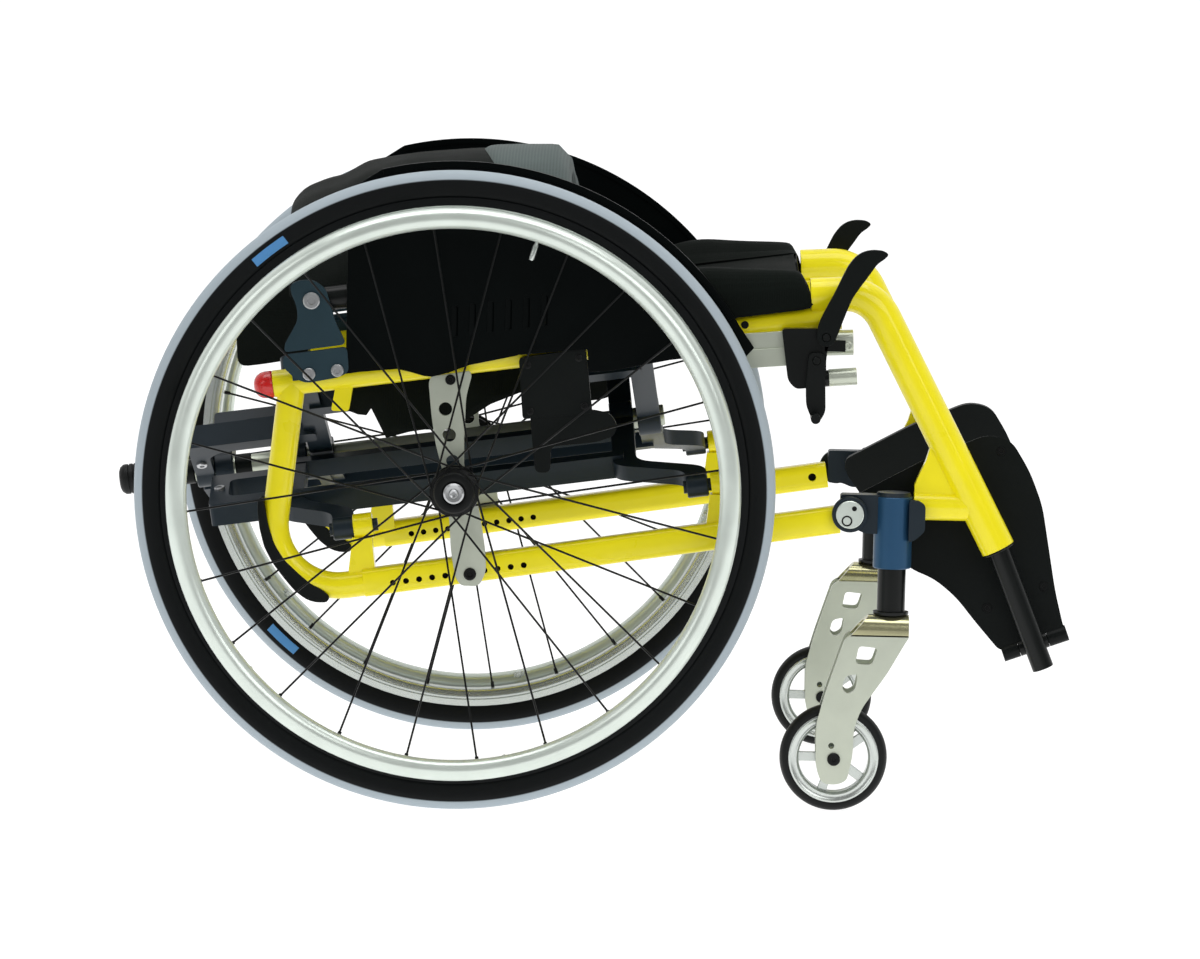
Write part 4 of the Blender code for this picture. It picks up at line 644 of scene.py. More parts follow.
# Each hole's place along the rail, its drop below the middle, and its radius.
hole_row = [(HOLE_REAR + index * HOLE_PITCH, 0.0025, 0.0028) for index in range(HOLES)]
front_hole = (LOWER_RAIL_FRONT - 0.0145, 0.0, 0.004)
for side, row in ((-1, hole_row), (1, hole_row + [front_hole])):
    rail.normal_update()
    walls = [face for face in rail.faces if face.normal.y * side > 0.99]
    wall = max(walls, key=lambda face: face.calc_area())
    border = list(wall.edges)
    bmesh.ops.delete(rail, geom=[wall], context="FACES_ONLY")
    holes = []
    for x, drop, radius in row:
        along = (x - rail_middle) / math.cos(LOWER_SLOPE)
        spot = Matrix.Translation((along, side * LOWER_RAIL_WIDTH / 2, -drop))
        ring = bmesh.ops.create_circle(rail, segments=16, radius=radius,
                                       matrix=spot @ Matrix.Rotation(math.radians(90), 4, "X"))
        holes += list({edge for point in ring["verts"] for edge in point.link_edges})
    bmesh.ops.triangle_fill(rail, use_beauty=True, edges=border + holes)
    sunk, floors = pulled(rail, holes)
    bmesh.ops.translate(rail, vec=(0.0, -side * SINK, 0.0), verts=sunk)
    # Each hole is sunk a little and floored in black: painted shade for the dark inside of the tube.
    for face in bmesh.ops.holes_fill(rail, edges=floors, sides=0)["faces"]:
        face.material_index = 1
bmesh.ops.rotate(rail, cent=(0.0, 0.0, 0.0), matrix=Matrix.Rotation(-LOWER_SLOPE, 3, "Y"), verts=rail.verts)
bmesh.ops.translate(rail, vec=on_frame(rail_middle, lower_rail_height(rail_middle)), verts=rail.verts)
make_pair("lower_rail", rail, "frame", YELLOW, "yellow_paint", second=PAINTED_HOLE_SHADE)

# Rear bend guards and end caps
# Black plastic guards, moulded to clip round the outside of the rear bends, and glossy red plastic caps
# pressed into the rear ends of the upper rails. A small black disc further forward is painted shade for a
# hole.

BLACK_PLASTIC = surface("black moulded plastic", (0.0035, 0.0052, 0.0048), 0.40, specular=0.14,
                        grain=0.35, grain_size=0.0011)
BEND_GUARD_HALF = 0.0131
bend_guard = bmesh.new()
bend_outline = [(-0.1832, 0.2800), (-0.1837, 0.2685), (-0.1815, 0.2520), (-0.1770, 0.2350),
                (-0.1690, 0.2200), (-0.1579, 0.2058), (-0.1480, 0.1945), (-0.1372, 0.1865),
                (-0.1280, 0.1838), (-0.1175, 0.1842), (-0.1150, 0.1890), (-0.1210, 0.1955),
                (-0.1330, 0.2010), (-0.1450, 0.2110), (-0.1580, 0.2230), (-0.1674, 0.2372),
                (-0.1735, 0.2560), (-0.1785, 0.2800)]
plate(bend_guard, rounded(bend_outline, 0.004, 2), FRAME_Y + BEND_GUARD_HALF, 2 * BEND_GUARD_HALF)
make_pair("bend_guard", bend_guard, "frame", BLACK_PLASTIC, "black_plastic", ("frame_protector",),
          edge=0.003)

RED = surface("red plastic", (0.70, 0.012, 0.012), 0.20, coat=0.4, grain=0.05)
cap = bmesh.new()
cap_side = [(0.0, 0.0180), (0.0035, 0.0177), (0.0070, 0.0164), (0.0098, 0.0142), (0.0117, 0.0108),
            (0.0125, 0.0068), (0.0125, 0.0010), (0.0120, 0.0), (0.0, 0.0)]
turned(cap, cap_side, Vector(on_rail(RAIL_END)) - SLOPE_WAY * 0.0003, axis=-SLOPE_WAY, steps=40)
make_pair("rail_cap", cap, "frame", RED, "red_plastic", ("end_cap",), soften=60)
# The thin black disc on the rail is painted shade: it stands for the dark inside of a hole in the tube.
HOLE_SHADE_X, HOLE_SHADE_Z = 0.2637, 0.4509
hole_shade_disc = bmesh.new()
bar(hole_shade_disc, (HOLE_SHADE_X, -0.2300, HOLE_SHADE_Z), (HOLE_SHADE_X, -0.2328, HOLE_SHADE_Z), 0.0036, 20)
make_pair("rail_hole_shade", hole_shade_disc, "frame", BLACK_PLASTIC, "black_plastic", edge=0.0003)

# Axle brackets
# Plates of champagne-anodised aluminium, milled and drilled with three holes, bolted to both rails. A sleeve
# for the axle is pressed in.

BRACKET_FACE = 0.2388
CHAMPAGNE = surface("champagne anodised aluminium", (0.57, 0.61, 0.51), 0.30, metallic=0.6, grain=0.10,
                    grain_size=0.0007)


def socket_bolt(bm, x, z, face, radius, height=0.003):
    """A round bolt head with a socket, on an outer face at y = -face."""
    turned(bm, [(0.0, height * 0.35), (radius * 0.45, height * 0.35), (radius * 0.5, height),
                (radius * 0.85, height), (radius, height * 0.7), (radius, -0.001), (0.0, -0.001)],
           (x, -face, z), steps=24)


bracket = bmesh.new()
bracket_outline = [(-0.0270, 0.3906), (-0.0254, 0.3969), (0.0107, 0.4030), (0.0126, 0.3986),
                   (0.0077, 0.3790), (0.0067, 0.3399), (0.0070, 0.3132), (0.0222, 0.2727),
                   (0.0283, 0.2372), (0.0296, 0.2177), (0.0236, 0.2033), (0.0059, 0.2034),
                   (0.0010, 0.2117), (-0.0036, 0.2365), (-0.0055, 0.2650), (-0.0125, 0.3093),
                   (-0.0198, 0.3358), (-0.0238, 0.3605)]
bracket_holes = [circle(x, z, 0.0062) for x, z in ((-0.0111, 0.3673), (-0.0071, 0.3431), (-0.0034, 0.3187))]
plate(bracket, rounded(bracket_outline, 0.006), BRACKET_FACE, 0.006, bracket_holes)
turned(bracket, [(0.0063, -0.0420), (0.0110, -0.0420), (0.0110, -0.0243), (0.0063, -0.0243)], RIGHT_AXLE,
       steps=40, closed=True)
make_pair("axle_plate", bracket, "frame", CHAMPAGNE, "champagne_aluminium", ("axle_bracket",),
          edge=0.0009)
bracket_bolts = bmesh.new()
socket_bolt(bracket_bolts, 0.0146, 0.2144, BRACKET_FACE + 0.0001, 0.0058)
socket_bolt(bracket_bolts, -0.0070, 0.3945, BRACKET_FACE + 0.0001, 0.0048, 0.002)
make_pair("axle_plate_bolts", bracket_bolts, "frame", BLACK_STEEL, "black_metal")

# Side guards
# Black plastic clothes guards that follow the tyre, with a flange along the curved edge and a recessed
# panel of six upright louvres.

GUARD_Y = 0.247
GUARD_REAR = -0.1035
GUARD_RADIUS = 0.302
GUARD_START, GUARD_SWEEP = 31, 73
GUARD_STEPS = 40
FLANGE_SHARE = 0.982
LOUVRES = 6
LOUVRE_REAR = -0.004
LOUVRE_PITCH = 0.0165
LOUVRE_UP = 0.040
LOUVRE_TURN = math.radians(24)
side_guard = bmesh.new()
guard_low = [(GUARD_REAR, 0.3985), (-0.0900, 0.4005), (-0.0562, 0.4040), (-0.0440, 0.4015),
             (-0.0311, 0.3981), (-0.0240, 0.3975), (-0.0091, 0.4014), (0.0111, 0.4093), (0.0533, 0.4186),
             (0.0550, 0.4195), (0.1190, 0.4262), (0.1208, 0.4050), (0.1420, 0.4070), (0.1951, 0.4180),
             (0.2400, 0.4240), (0.2560, 0.4190), (0.2640, 0.4215), (0.2725, 0.4310)]
guard_arc = []
for step in range(GUARD_STEPS + 1):
    angle = math.radians(GUARD_START + GUARD_SWEEP * step / GUARD_STEPS)
    guard_arc.append((GUARD_RADIUS * math.cos(angle), AXLE_HEIGHT + GUARD_RADIUS * math.sin(angle)))
guard_outline = guard_low + guard_arc + [(GUARD_REAR, guard_arc[-1][1] - 0.020)]
slats = [LOUVRE_REAR + index * LOUVRE_PITCH for index in range(LOUVRES)]
slots = []
for x in slats:
    z = rail_height(x) + LOUVRE_UP
    slots.append(rounded([(x - 0.003, z - 0.014), (x + 0.003, z - 0.014), (x + 0.003, z + 0.014),
                          (x - 0.003, z + 0.014)], 0.0015, 2))
plate(side_guard, guard_outline, GUARD_Y + 0.0015, 0.003, slots)
for x in slats:
    block(side_guard, (x + 0.001, -GUARD_Y, rail_height(x) + LOUVRE_UP), (0.0088, 0.0008, 0.030),
          Matrix.Rotation(LOUVRE_TURN, 4, "Z"))
inner_arc = [(x * FLANGE_SHARE, AXLE_HEIGHT + (z - AXLE_HEIGHT) * FLANGE_SHARE) for x, z in guard_arc[1:]]
plate(side_guard, guard_arc[1:] + inner_arc[::-1], GUARD_Y + 0.0030, 0.006)
GUARD_BLACK = surface("deep black plastic", (0.0014, 0.0025, 0.0025), 0.34, specular=0.07, grain=0.2,
                      grain_size=0.0011)
make_pair("clothes_guard", side_guard, "frame", GUARD_BLACK, "black_plastic", ("side_guard",),
          edge=0.0004)

# Guard clamps
# Square black plastic clamps that hold the guards to the upper rails, closed by four screws, with a
# rounded stop below.

CLAMP_FACE = 0.2452
clamp = bmesh.new()
clamp_square = [(0.0558, 0.4164), (0.1173, 0.4267), (0.1248, 0.3667), (0.0605, 0.3599)]
clamp_arm = [(0.0670, 0.3640), (0.1240, 0.3700), (0.1420, 0.3665), (0.1482, 0.3560), (0.1450, 0.3460),
             (0.1290, 0.3400), (0.0871, 0.3350), (0.0871, 0.3108), (0.0730, 0.3105)]
plate(clamp, rounded(clamp_square, 0.004), CLAMP_FACE, 0.0124)
plate(clamp, rounded(clamp_arm, 0.006), 0.2440, 0.0100)
make_pair("square_clamp", clamp, "frame", BLACK_PLASTIC, "black_plastic", ("guard_clamp",), edge=0.0012)
clamp_screws = bmesh.new()
for x, z in ((0.0640, 0.4100), (0.1110, 0.4178), (0.1172, 0.3735), (0.0672, 0.3672)):
    socket_bolt(clamp_screws, x, z, CLAMP_FACE + 0.0001, 0.0034, 0.0009)
make_pair("clamp_screws", clamp_screws, "frame", BLACK_STEEL, "black_metal")

# Back brackets
# Cast slate-blue brackets in two parts: the lower is bolted to the rail, the upper holds the pivot of the
# folding back post.

BACK_PIVOT_X, BACK_PIVOT_Z = -0.137, 0.4645
BACK_POST_Y = 0.2325
SLATE = surface("slate castings", (0.0105, 0.0195, 0.0280), 0.38, metallic=0.15, specular=0.3, coat=0.05,
                grain=0.3, grain_size=0.0016)
back_bracket = bmesh.new()
upper_part = [(-0.1555, 0.4805), (-0.1466, 0.4841), (-0.1344, 0.4844), (-0.1231, 0.4768), (-0.1136, 0.4457),
              (-0.1031, 0.4258), (-0.1600, 0.4172), (-0.1601, 0.4245), (-0.1482, 0.4471), (-0.1496, 0.4605),
              (-0.1554, 0.4727)]
lower_part = [(-0.1605, 0.4150), (-0.1026, 0.4237), (-0.1004, 0.4001), (-0.1100, 0.3950), (-0.1394, 0.3891),
              (-0.1500, 0.3930), (-0.1620, 0.4043)]
plate(back_bracket, rounded(upper_part, 0.006), 0.2505, 0.0065)
plate(back_bracket, rounded(lower_part, 0.005), 0.2500, 0.0060)
block(back_bracket, (-0.131, -0.2385, 0.4035), (0.046, 0.0110, 0.020), Matrix.Rotation(-SLOPE, 4, "Y"))
bar(back_bracket, (BACK_PIVOT_X, -0.2450, BACK_PIVOT_Z), (BACK_PIVOT_X, -0.2205, BACK_PIVOT_Z), 0.005, 20)
TEAL_SLATE = surface("teal slate castings", (0.019, 0.045, 0.060), 0.36, metallic=0.15, specular=0.3,
                     grain=0.3, grain_size=0.0016)
make_pair("hinge_bracket", back_bracket, "frame", TEAL_SLATE, "slate_casting", ("back_bracket",),
          edge=0.0012)
bracket_screws = bmesh.new()
socket_bolt(bracket_screws, -0.1361, 0.4655, 0.2506, 0.0078, 0.0030)
socket_bolt(bracket_screws, -0.1371, 0.3975, 0.2501, 0.0058, 0.0026)
socket_bolt(bracket_screws, -0.1110, 0.4015, 0.2501, 0.0058, 0.0026)
make_pair("hinge_bracket_screws", bracket_screws, "frame", STEEL, "steel")

# Castor housings
# Blue anodised barrels for the castor stems, clamped beside the drilled rail and to the strut. An eccentric
# disc with two sockets sets the angle of the stem.

BLUE = surface("blue anodised aluminium", (0.022, 0.080, 0.165), 0.32, metallic=0.35, specular=0.3,
               grain=0.1)
CASTOR_Y = 0.224
STEM = Vector((0.4055, -CASTOR_Y, 0.2277))
DISC = (0.3648, -CASTOR_Y, 0.2780)
UPWARDS = (0.0, 0.0, 1.0)
housing = bmesh.new()
turned(housing, [(0.0134, 0.0), (0.0168, 0.0), (0.0178, 0.0010), (0.0178, 0.0660), (0.0172, 0.0668),
                 (0.0134, 0.0668)], STEM, axis=UPWARDS, steps=64, closed=True)
make_pair("stem_barrel", housing, "frame", BLUE, "blue_casting", ("castor_housing",))
arm = bmesh.new()
turned(arm, [(0.0, 0.0660), (0.0166, 0.0660), (0.0170, 0.0672), (0.0150, 0.0706), (0.0090, 0.0713),
             (0.0, 0.0713)], STEM, axis=UPWARDS, steps=48)
arm_outline = [(0.3560, 0.2960), (0.4000, 0.2960), (0.4000, 0.2600), (0.3800, 0.2600), (0.3700, 0.2640),
               (0.3560, 0.2640)]
plate(arm, rounded(arm_outline, 0.003), 0.2340, 0.0200)
lobe_outline = [(0.4195, 0.2925), (0.4280, 0.2925), (0.4345, 0.2880), (0.4345, 0.2640), (0.4260, 0.2560),
                (0.4195, 0.2530)]
plate(arm, rounded(lobe_outline, 0.003), 0.2418, 0.0080)
turned(arm, [(0.0, 0.0105), (0.0166, 0.0105), (0.0166, 0.0170), (0.0158, 0.0180), (0.0136, 0.0180),
             (0.0132, 0.0172), (0.0, 0.0172)], DISC, steps=48)
make_pair("housing_arm", arm, "frame", SLATE, "slate_casting", edge=0.0010)
disc = bmesh.new()
turned(disc, [(0.0, 0.0165), (0.0129, 0.0165), (0.0129, 0.0184), (0.0122, 0.0190), (0.0, 0.0190)], DISC)
make_pair("setting_disc", disc, "frame", PALE_SILVER, "silver_aluminium")
sockets = bmesh.new()
turned(sockets, [(0.0, 0.0187), (0.0034, 0.0187), (0.0038, 0.0194), (0.0048, 0.0195), (0.0052, 0.0188),
                 (0.0052, 0.0180)], (0.3622, -CASTOR_Y, 0.2722), steps=24)
turned(sockets, [(0.0, 0.0192), (0.0023, 0.0192), (0.0023, 0.0180)], (0.3688, -CASTOR_Y, 0.2838), steps=20)
make_pair("disc_sockets", sockets, "frame", BLACK_STEEL, "black_metal")

# Castor forks
# Sheet aluminium, cut with two windows a leg, folded over the stem and anodised champagne. The fold is
# polished, and trimmed at a slant at its back.

FORK_TOP = 0.184
FORK_FRONT = 0.4222
FORK_HALF = 0.01875
SHEET = 0.005
FORK_LEG_TOP = 0.1665
FOLD_RADIUS = 0.0135
FOLD_FOOT = 0.1650
FOLD_LENGTH = 0.0540
TRIM_PLACE = (0.3690, 0.0, 0.1660)
TRIM_FACING = (-0.75, 0.0, 0.66)
fork = bmesh.new()
fork_leg = [(0.3685, FORK_LEG_TOP), (FORK_FRONT, FORK_LEG_TOP), (0.4220, 0.1640), (0.4193, 0.1600),
            (0.4029, 0.1306), (0.3800, 0.0975), (0.3735, 0.0787), (0.3730, 0.0531), (0.3680, 0.0300),
            (0.3590, 0.0262), (0.3450, 0.0266), (0.3390, 0.0420), (0.3384, 0.0826), (0.3468, 0.1130),
            (0.3629, 0.1622)]
fork_window = rounded([(0.3762, 0.1562), (0.3941, 0.1545), (0.3890, 0.1388), (0.3733, 0.1396)], 0.004)
slot_outline = [(0.3640, 0.1278), (0.3763, 0.1304), (0.3738, 0.1150), (0.3664, 0.1108), (0.3615, 0.1160)]
fork_holes = [fork_window, rounded(slot_outline, 0.005), circle(0.3530, 0.0625, 0.0028)]
for outer in (CASTOR_Y + FORK_HALF, CASTOR_Y - FORK_HALF + SHEET):
    plate(fork, rounded(fork_leg, 0.008), outer, SHEET, fork_holes)
make_pair("fork_legs", fork, "castor_swivel", CHAMPAGNE, "champagne_aluminium", ("castor_fork",),
          edge=0.0010)


def fold_line(radius, steps=8):
    """One face of the folded sheet as (out, height), up over the bend and down on the other side."""
    line = [(FORK_HALF - FOLD_RADIUS + radius, FOLD_FOOT)]
    for step in range(steps + 1):
        lean = math.radians(90 * step / steps)
        line.append((FORK_HALF - FOLD_RADIUS + radius * math.cos(lean),
                     FORK_TOP - FOLD_RADIUS + radius * math.sin(lean)))
    return line + [(SHEET - out, height) for out, height in reversed(line)]


crown = bmesh.new()
sheet_edge = fold_line(FOLD_RADIUS) + fold_line(FOLD_RADIUS - SHEET)[::-1]
across = Matrix.Translation((FORK_FRONT, -CASTOR_Y, 0.0)) @ Matrix.Rotation(math.radians(-90), 4, "Z")
plate(crown, sheet_edge, FOLD_LENGTH, FOLD_LENGTH, turn=across)
bmesh.ops.bisect_plane(crown, geom=crown.verts[:] + crown.edges[:] + crown.faces[:], plane_co=TRIM_PLACE,
                       plane_no=TRIM_FACING, clear_outer=True)
bmesh.ops.holes_fill(crown, edges=[edge for edge in crown.edges if edge.is_boundary], sides=0)
BRIGHT_CHAMPAGNE = surface("polished champagne fold", (0.62, 0.60, 0.36), 0.18, metallic=0.85, grain=0.08)
make_pair("fork_crown", crown, "castor_swivel", BRIGHT_CHAMPAGNE, "champagne_aluminium", edge=0.0030)

# Castor wheels
# Solid black tyres pressed on silver wheels, which have five open gaps between the ring and the hub.
# A black bolt through the fork carries each wheel.

CASTOR = (0.3555, -CASTOR_Y, 0.050)
CASTOR_SPOKES = 5
SOFT_RUBBER = surface("solid black rubber", (0.004, 0.005, 0.005), 0.5, specular=0.25, grain=0.3)
castor_tyre = bmesh.new()
tyre_side = [(0.0385, 0.0085), (0.0410, 0.0100), (0.0440, 0.0108), (0.0465, 0.0100), (0.0485, 0.0076),
             (0.0497, 0.0042), (0.0500, 0.0)]
turned(castor_tyre, both_sides(tyre_side), CASTOR, steps=96, closed=True)
make_pair("front_tyre", castor_tyre, "castor_wheel", SOFT_RUBBER, "soft_rubber", ("castor_tyre",))
castor_wheel = bmesh.new()
wheel_side = [(0.0420, 0.0103), (0.0400, 0.0108), (0.0388, 0.0100), (0.0362, 0.0094), (0.0345, 0.0098),
              (0.0324, 0.0080), (0.0322, 0.0040)]
turned(castor_wheel, both_sides(wheel_side), CASTOR, steps=96, closed=True)
hub_side = [(0.0040, 0.0128), (0.0095, 0.0128), (0.0110, 0.0115), (0.0135, 0.0060)]
turned(castor_wheel, both_sides(hub_side), CASTOR, closed=True)
for index in range(CASTOR_SPOKES):
    angle = math.tau * (index + 0.5) / CASTOR_SPOKES
    middle = (CASTOR[0] + 0.0225 * math.cos(angle), CASTOR[1], CASTOR[2] + 0.0225 * math.sin(angle))
    block(castor_wheel, middle, (0.0225, 0.0060, 0.0085), Matrix.Rotation(-angle, 4, "Y"))
make_pair("front_wheel", castor_wheel, "castor_wheel", SILVER, "silver_aluminium", ("castor_hub",),
          edge=0.0006)
castor_bolt = bmesh.new()
turned(castor_bolt, [(0.0, 0.0204), (0.0022, 0.0204), (0.0024, 0.0220), (0.0052, 0.0220), (0.0060, 0.0212),
                     (0.0060, 0.0190), (0.0038, 0.0190), (0.0038, -0.0190), (0.0058, -0.0190),
                     (0.0058, -0.0216), (0.0, -0.0216)], CASTOR, steps=32)
make_pair("front_wheel_bolt", castor_bolt, "castor_wheel", BLACK_STEEL, "black_metal")

# Footrests
# Black-coated posts slide up inside the legs. Each carries a hinged plate of black composite, folded up,
# with rounded edges that catch the light and three recessed screws.

HINGE = Vector((0.5400, -0.200, 0.1570))
HINGE_TILT = math.radians(20)
HINGE_LEAN = math.radians(5)
HINGE_RADIUS = 0.0075
PLATE_SHARE = 0.985
hinge_along = Vector((math.cos(HINGE_TILT), 0.0, math.sin(HINGE_TILT)))
up_plate = (Vector((-math.sin(HINGE_TILT), 0.0, math.cos(HINGE_TILT))) * math.cos(HINGE_LEAN)
            + Vector((0.0, 1.0, 0.0)) * math.sin(HINGE_LEAN))
plate_face = up_plate.cross(hinge_along)
plate_frame = Matrix.Translation(HINGE) @ Matrix((hinge_along, plate_face, up_plate)).transposed().to_4x4()


def on_plate(x, z):
    """A place measured in the side view, as (along the hinge, up the plate)."""
    ahead, up = x - HINGE.x, z - HINGE.z
    return (ahead * math.cos(HINGE_TILT) + up * math.sin(HINGE_TILT),
            PLATE_SHARE * (up * math.cos(HINGE_TILT) - ahead * math.sin(HINGE_TILT)))


def on_hinge(length, above=0.0):
    """A place along the hinge, above its middle line by the height given."""
    return plate_frame @ Vector((length, 0.0, above))


foot_plate = bmesh.new()
measured = [(0.3704, 0.2943), (0.4355, 0.3302), (0.4913, 0.3539), (0.5137, 0.3492), (0.5317, 0.3204),
            (0.5446, 0.2880), (0.5507, 0.2536), (0.5589, 0.2072), (0.5686, 0.1694), (0.5670, 0.1642),
            (0.5552, 0.1687), (0.5313, 0.1612), (0.5161, 0.1502), (0.5074, 0.1512), (0.4842, 0.1778),
            (0.4664, 0.1999), (0.4454, 0.2167), (0.4246, 0.2248), (0.3950, 0.2480), (0.3720, 0.2800)]
plate(foot_plate, rounded([on_plate(x, z) for x, z in measured], 0.012), 0.004, 0.008, turn=plate_frame)
for start, end in ((-0.030, -0.0143), (0.0143, 0.033)):
    bar(foot_plate, on_hinge(start), on_hinge(end), HINGE_RADIUS, 28)
    knuckle = (end - start - 0.002, 0.0072, 0.016)
    block(foot_plate, on_hinge((start + end) / 2, 0.008), knuckle, plate_frame.to_3x3().to_4x4())
bar(foot_plate, on_hinge(-0.029), on_hinge(0.032), 0.004, 16)
make_pair("foot_board", foot_plate, "footplate", BLACK_PLASTIC, "black_plastic", ("footplate",),
          edge=0.0016)
board_screws = bmesh.new()
screw_side = [(0.0, 0.0004), (0.0020, 0.0004), (0.0022, 0.0010), (0.0038, 0.0010), (0.0042, 0.0)]
for x, z in ((0.5048, 0.3380), (0.5480, 0.2116), (0.4960, 0.1900)):
    along, up = on_plate(x, z)
    turned(board_screws, screw_side, plate_frame @ Vector((along, -0.0041, up)), axis=-plate_face, steps=24)
make_pair("board_screws", board_screws, "footplate", BLACK_STEEL, "black_metal")

BLACK_PAINT = surface("black satin coat", (0.0035, 0.0048, 0.0045), 0.3, specular=0.22, coat=0.05,
                      grain=0.12)
FOOT_POST_RADIUS = 0.010
foot_post = bmesh.new()
leg_down = Vector((LEG_FOOT[0] - LEG_KNEE[0], 0.0, LEG_FOOT[1] - LEG_KNEE[1])).normalized()
leg_end = Vector(on_frame(*LEG_FOOT))
bent_tube(foot_post, [leg_end - leg_down * 0.063, leg_end, on_frame(0.5487, 0.1366)], FOOT_POST_RADIUS,
          0.04, steps=4)
bar(foot_post, HINGE - hinge_along * 0.014, HINGE + hinge_along * 0.014, HINGE_RADIUS, 28)
block(foot_post, (HINGE.x, -0.211, HINGE.z), (0.0196, 0.016, 0.0098), Matrix.Rotation(-HINGE_TILT, 4, "Y"))
turned(foot_post, [(0.0103, -0.0010), (0.0150, -0.0010), (0.0158, 0.0), (0.0150, 0.0012), (0.0103, 0.0012)],
       leg_end + leg_down * 0.0012, axis=leg_down, steps=40, closed=True)
make_pair("foot_tube", foot_post, "frame", BLACK_PAINT, "black_metal", ("foot_post",), edge=0.0006)

# Brakes
# A black cast body on a silver channel under the rail. The broad lever curls over at its top, and the
# hooked shoe below swings back on to the tyre.

LEVER_PIVOT = (0.3385, 0.4425)
SHOE_PIVOT = (0.3300, 0.4210)
BRAKE_OUT = 0.2475
LEVER_OUT = 0.2558
LEVER_THICKNESS = 0.008
PIN_HOLE = 0.0039
CHANNEL_TILT = math.radians(5)
brake_body = bmesh.new()
body_outline = [(0.2975, 0.4494), (0.3043, 0.4015), (0.3116, 0.3938), (0.3397, 0.3966), (0.3391, 0.4207),
                (0.3405, 0.4340), (0.3455, 0.4400), (0.3440, 0.4503)]
plate(brake_body, rounded(body_outline, 0.004), BRAKE_OUT, 0.0145)
for x, z in (LEVER_PIVOT, SHOE_PIVOT):
    turned(brake_body, [(0.0, -0.003), (0.0035, -0.003), (0.0035, 0.0093), (0.0030, 0.0100), (0.0, 0.0100)],
           (x, -BRAKE_OUT, z), steps=24)
block(brake_body, (0.3470, -0.2445, 0.4345), (0.0190, 0.0060, 0.0105))
bar(brake_body, (0.3280, -0.2405, 0.4025), (0.3420, -0.2405, 0.4040), 0.0076, 24)
make_pair("brake_body", brake_body, "frame", BLACK_PAINT, "black_metal", ("brake_clamp",), edge=0.0014)
channel = bmesh.new()
tilt = Matrix.Rotation(-CHANNEL_TILT, 4, "Y")
block(channel, (0.2840, -0.2368, 0.4215), (0.0880, 0.0080, 0.0170), tilt)
block(channel, (0.2840, -0.2358, 0.4375), (0.0880, 0.0060, 0.0150), tilt)
bar(channel, (0.3380, -0.2325, 0.4360), (0.3640, -0.2325, 0.4372), 0.0118, 32)
bar(channel, (0.3420, -0.2405, 0.4044), (0.3678, -0.2405, 0.4066), 0.0080, 32)
socket_bolt(channel, 0.3590, 0.4345, 0.2440, 0.0046, 0.0014)
make_pair("brake_channel", channel, "frame", CHAMPAGNE, "champagne_aluminium", edge=0.0012)
lever = bmesh.new()
pivot_x, pivot_z = LEVER_PIVOT
lever_outline = [(pivot_x - 0.0088, pivot_z), (pivot_x - 0.0060, pivot_z - 0.0066),
                 (pivot_x, pivot_z - 0.0088), (pivot_x + 0.0068, pivot_z - 0.0062), (0.3495, 0.4470),
                 (0.3567, 0.4669), (0.3619, 0.4797), (0.3687, 0.4897), (0.3769, 0.5012), (0.3836, 0.5112),
                 (0.3905, 0.5160), (0.3945, 0.5203), (0.3889, 0.5236), (0.3791, 0.5243), (0.3707, 0.5224),
                 (0.3638, 0.5180), (0.3570, 0.5092), (0.3516, 0.4978), (0.3450, 0.4835), (0.3383, 0.4707),
                 (0.3318, 0.4570), (pivot_x - 0.0085, pivot_z + 0.0070)]
pin_hole = circle(pivot_x, pivot_z, PIN_HOLE)
plate(lever, rounded(lever_outline, 0.004, 3), LEVER_OUT, LEVER_THICKNESS, [pin_hole])
make_pair("brake_handle", lever, "brake_lever", BLACK_PLASTIC, "black_plastic", ("brake_lever",),
          edge=0.0034)
shoe = bmesh.new()
shoe_x, shoe_z = SHOE_PIVOT
shoe_outline = [(shoe_x - 0.0070, shoe_z + 0.0070), (shoe_x + 0.0070, shoe_z + 0.0070), (0.3388, 0.3954),
                (0.3395, 0.3742), (0.3348, 0.3655), (0.3285, 0.3650), (0.3255, 0.3700), (0.3215, 0.3790),
                (0.3207, 0.3950)]
plate(shoe, rounded(shoe_outline, 0.005), LEVER_OUT, LEVER_THICKNESS, [circle(shoe_x, shoe_z, PIN_HOLE)])
bar(shoe, (shoe_x, -0.2500, 0.3690), (shoe_x, -0.2790, 0.3690), 0.0045, 24)
make_pair("brake_hook", shoe, "brake_shoe", BLACK_PAINT, "black_metal", ("brake_shoe",), edge=0.0014)

# Cross brace
# Two castings of slate-blue aluminium that cross on the pivot tube like scissors. Each has bent feet on
# pins beside one lower rail, deep bars, a bolted frame at the back and spread heads under the other seat
# tube.

BRACE = Matrix.Translation((0.0, 0.0, PIN_HEIGHT)) @ Matrix.Rotation(-SLOPE, 4, "Y")
BRACE_RISE = 0.0514
SEAT_TUBE_Y = 0.205
SEAT_TUBE_UP = 0.1631
ARM_LEGS = (-0.155, 0.160)
ARM_FEET = (-0.1053, 0.2257)
LEG_HALF = 0.011


def in_brace(x, y, z):
    """A place given along the pivot tube, across the chair and above the lower pins."""
    return BRACE @ Vector((x, y, z))


def along_tube(length):
    """A step along the pivot tube."""
    return BRACE.to_3x3() @ Vector((length, 0.0, 0.0))


def arm_plane(start, end):
    """Axes on half a casting: X along the pivot tube, Y through the arm and Z up it."""
    up = (end - start).normalized()
    along = along_tube(1.0)
    return Matrix.Translation(start) @ Matrix((along, up.cross(along), up)).transposed().to_4x4()


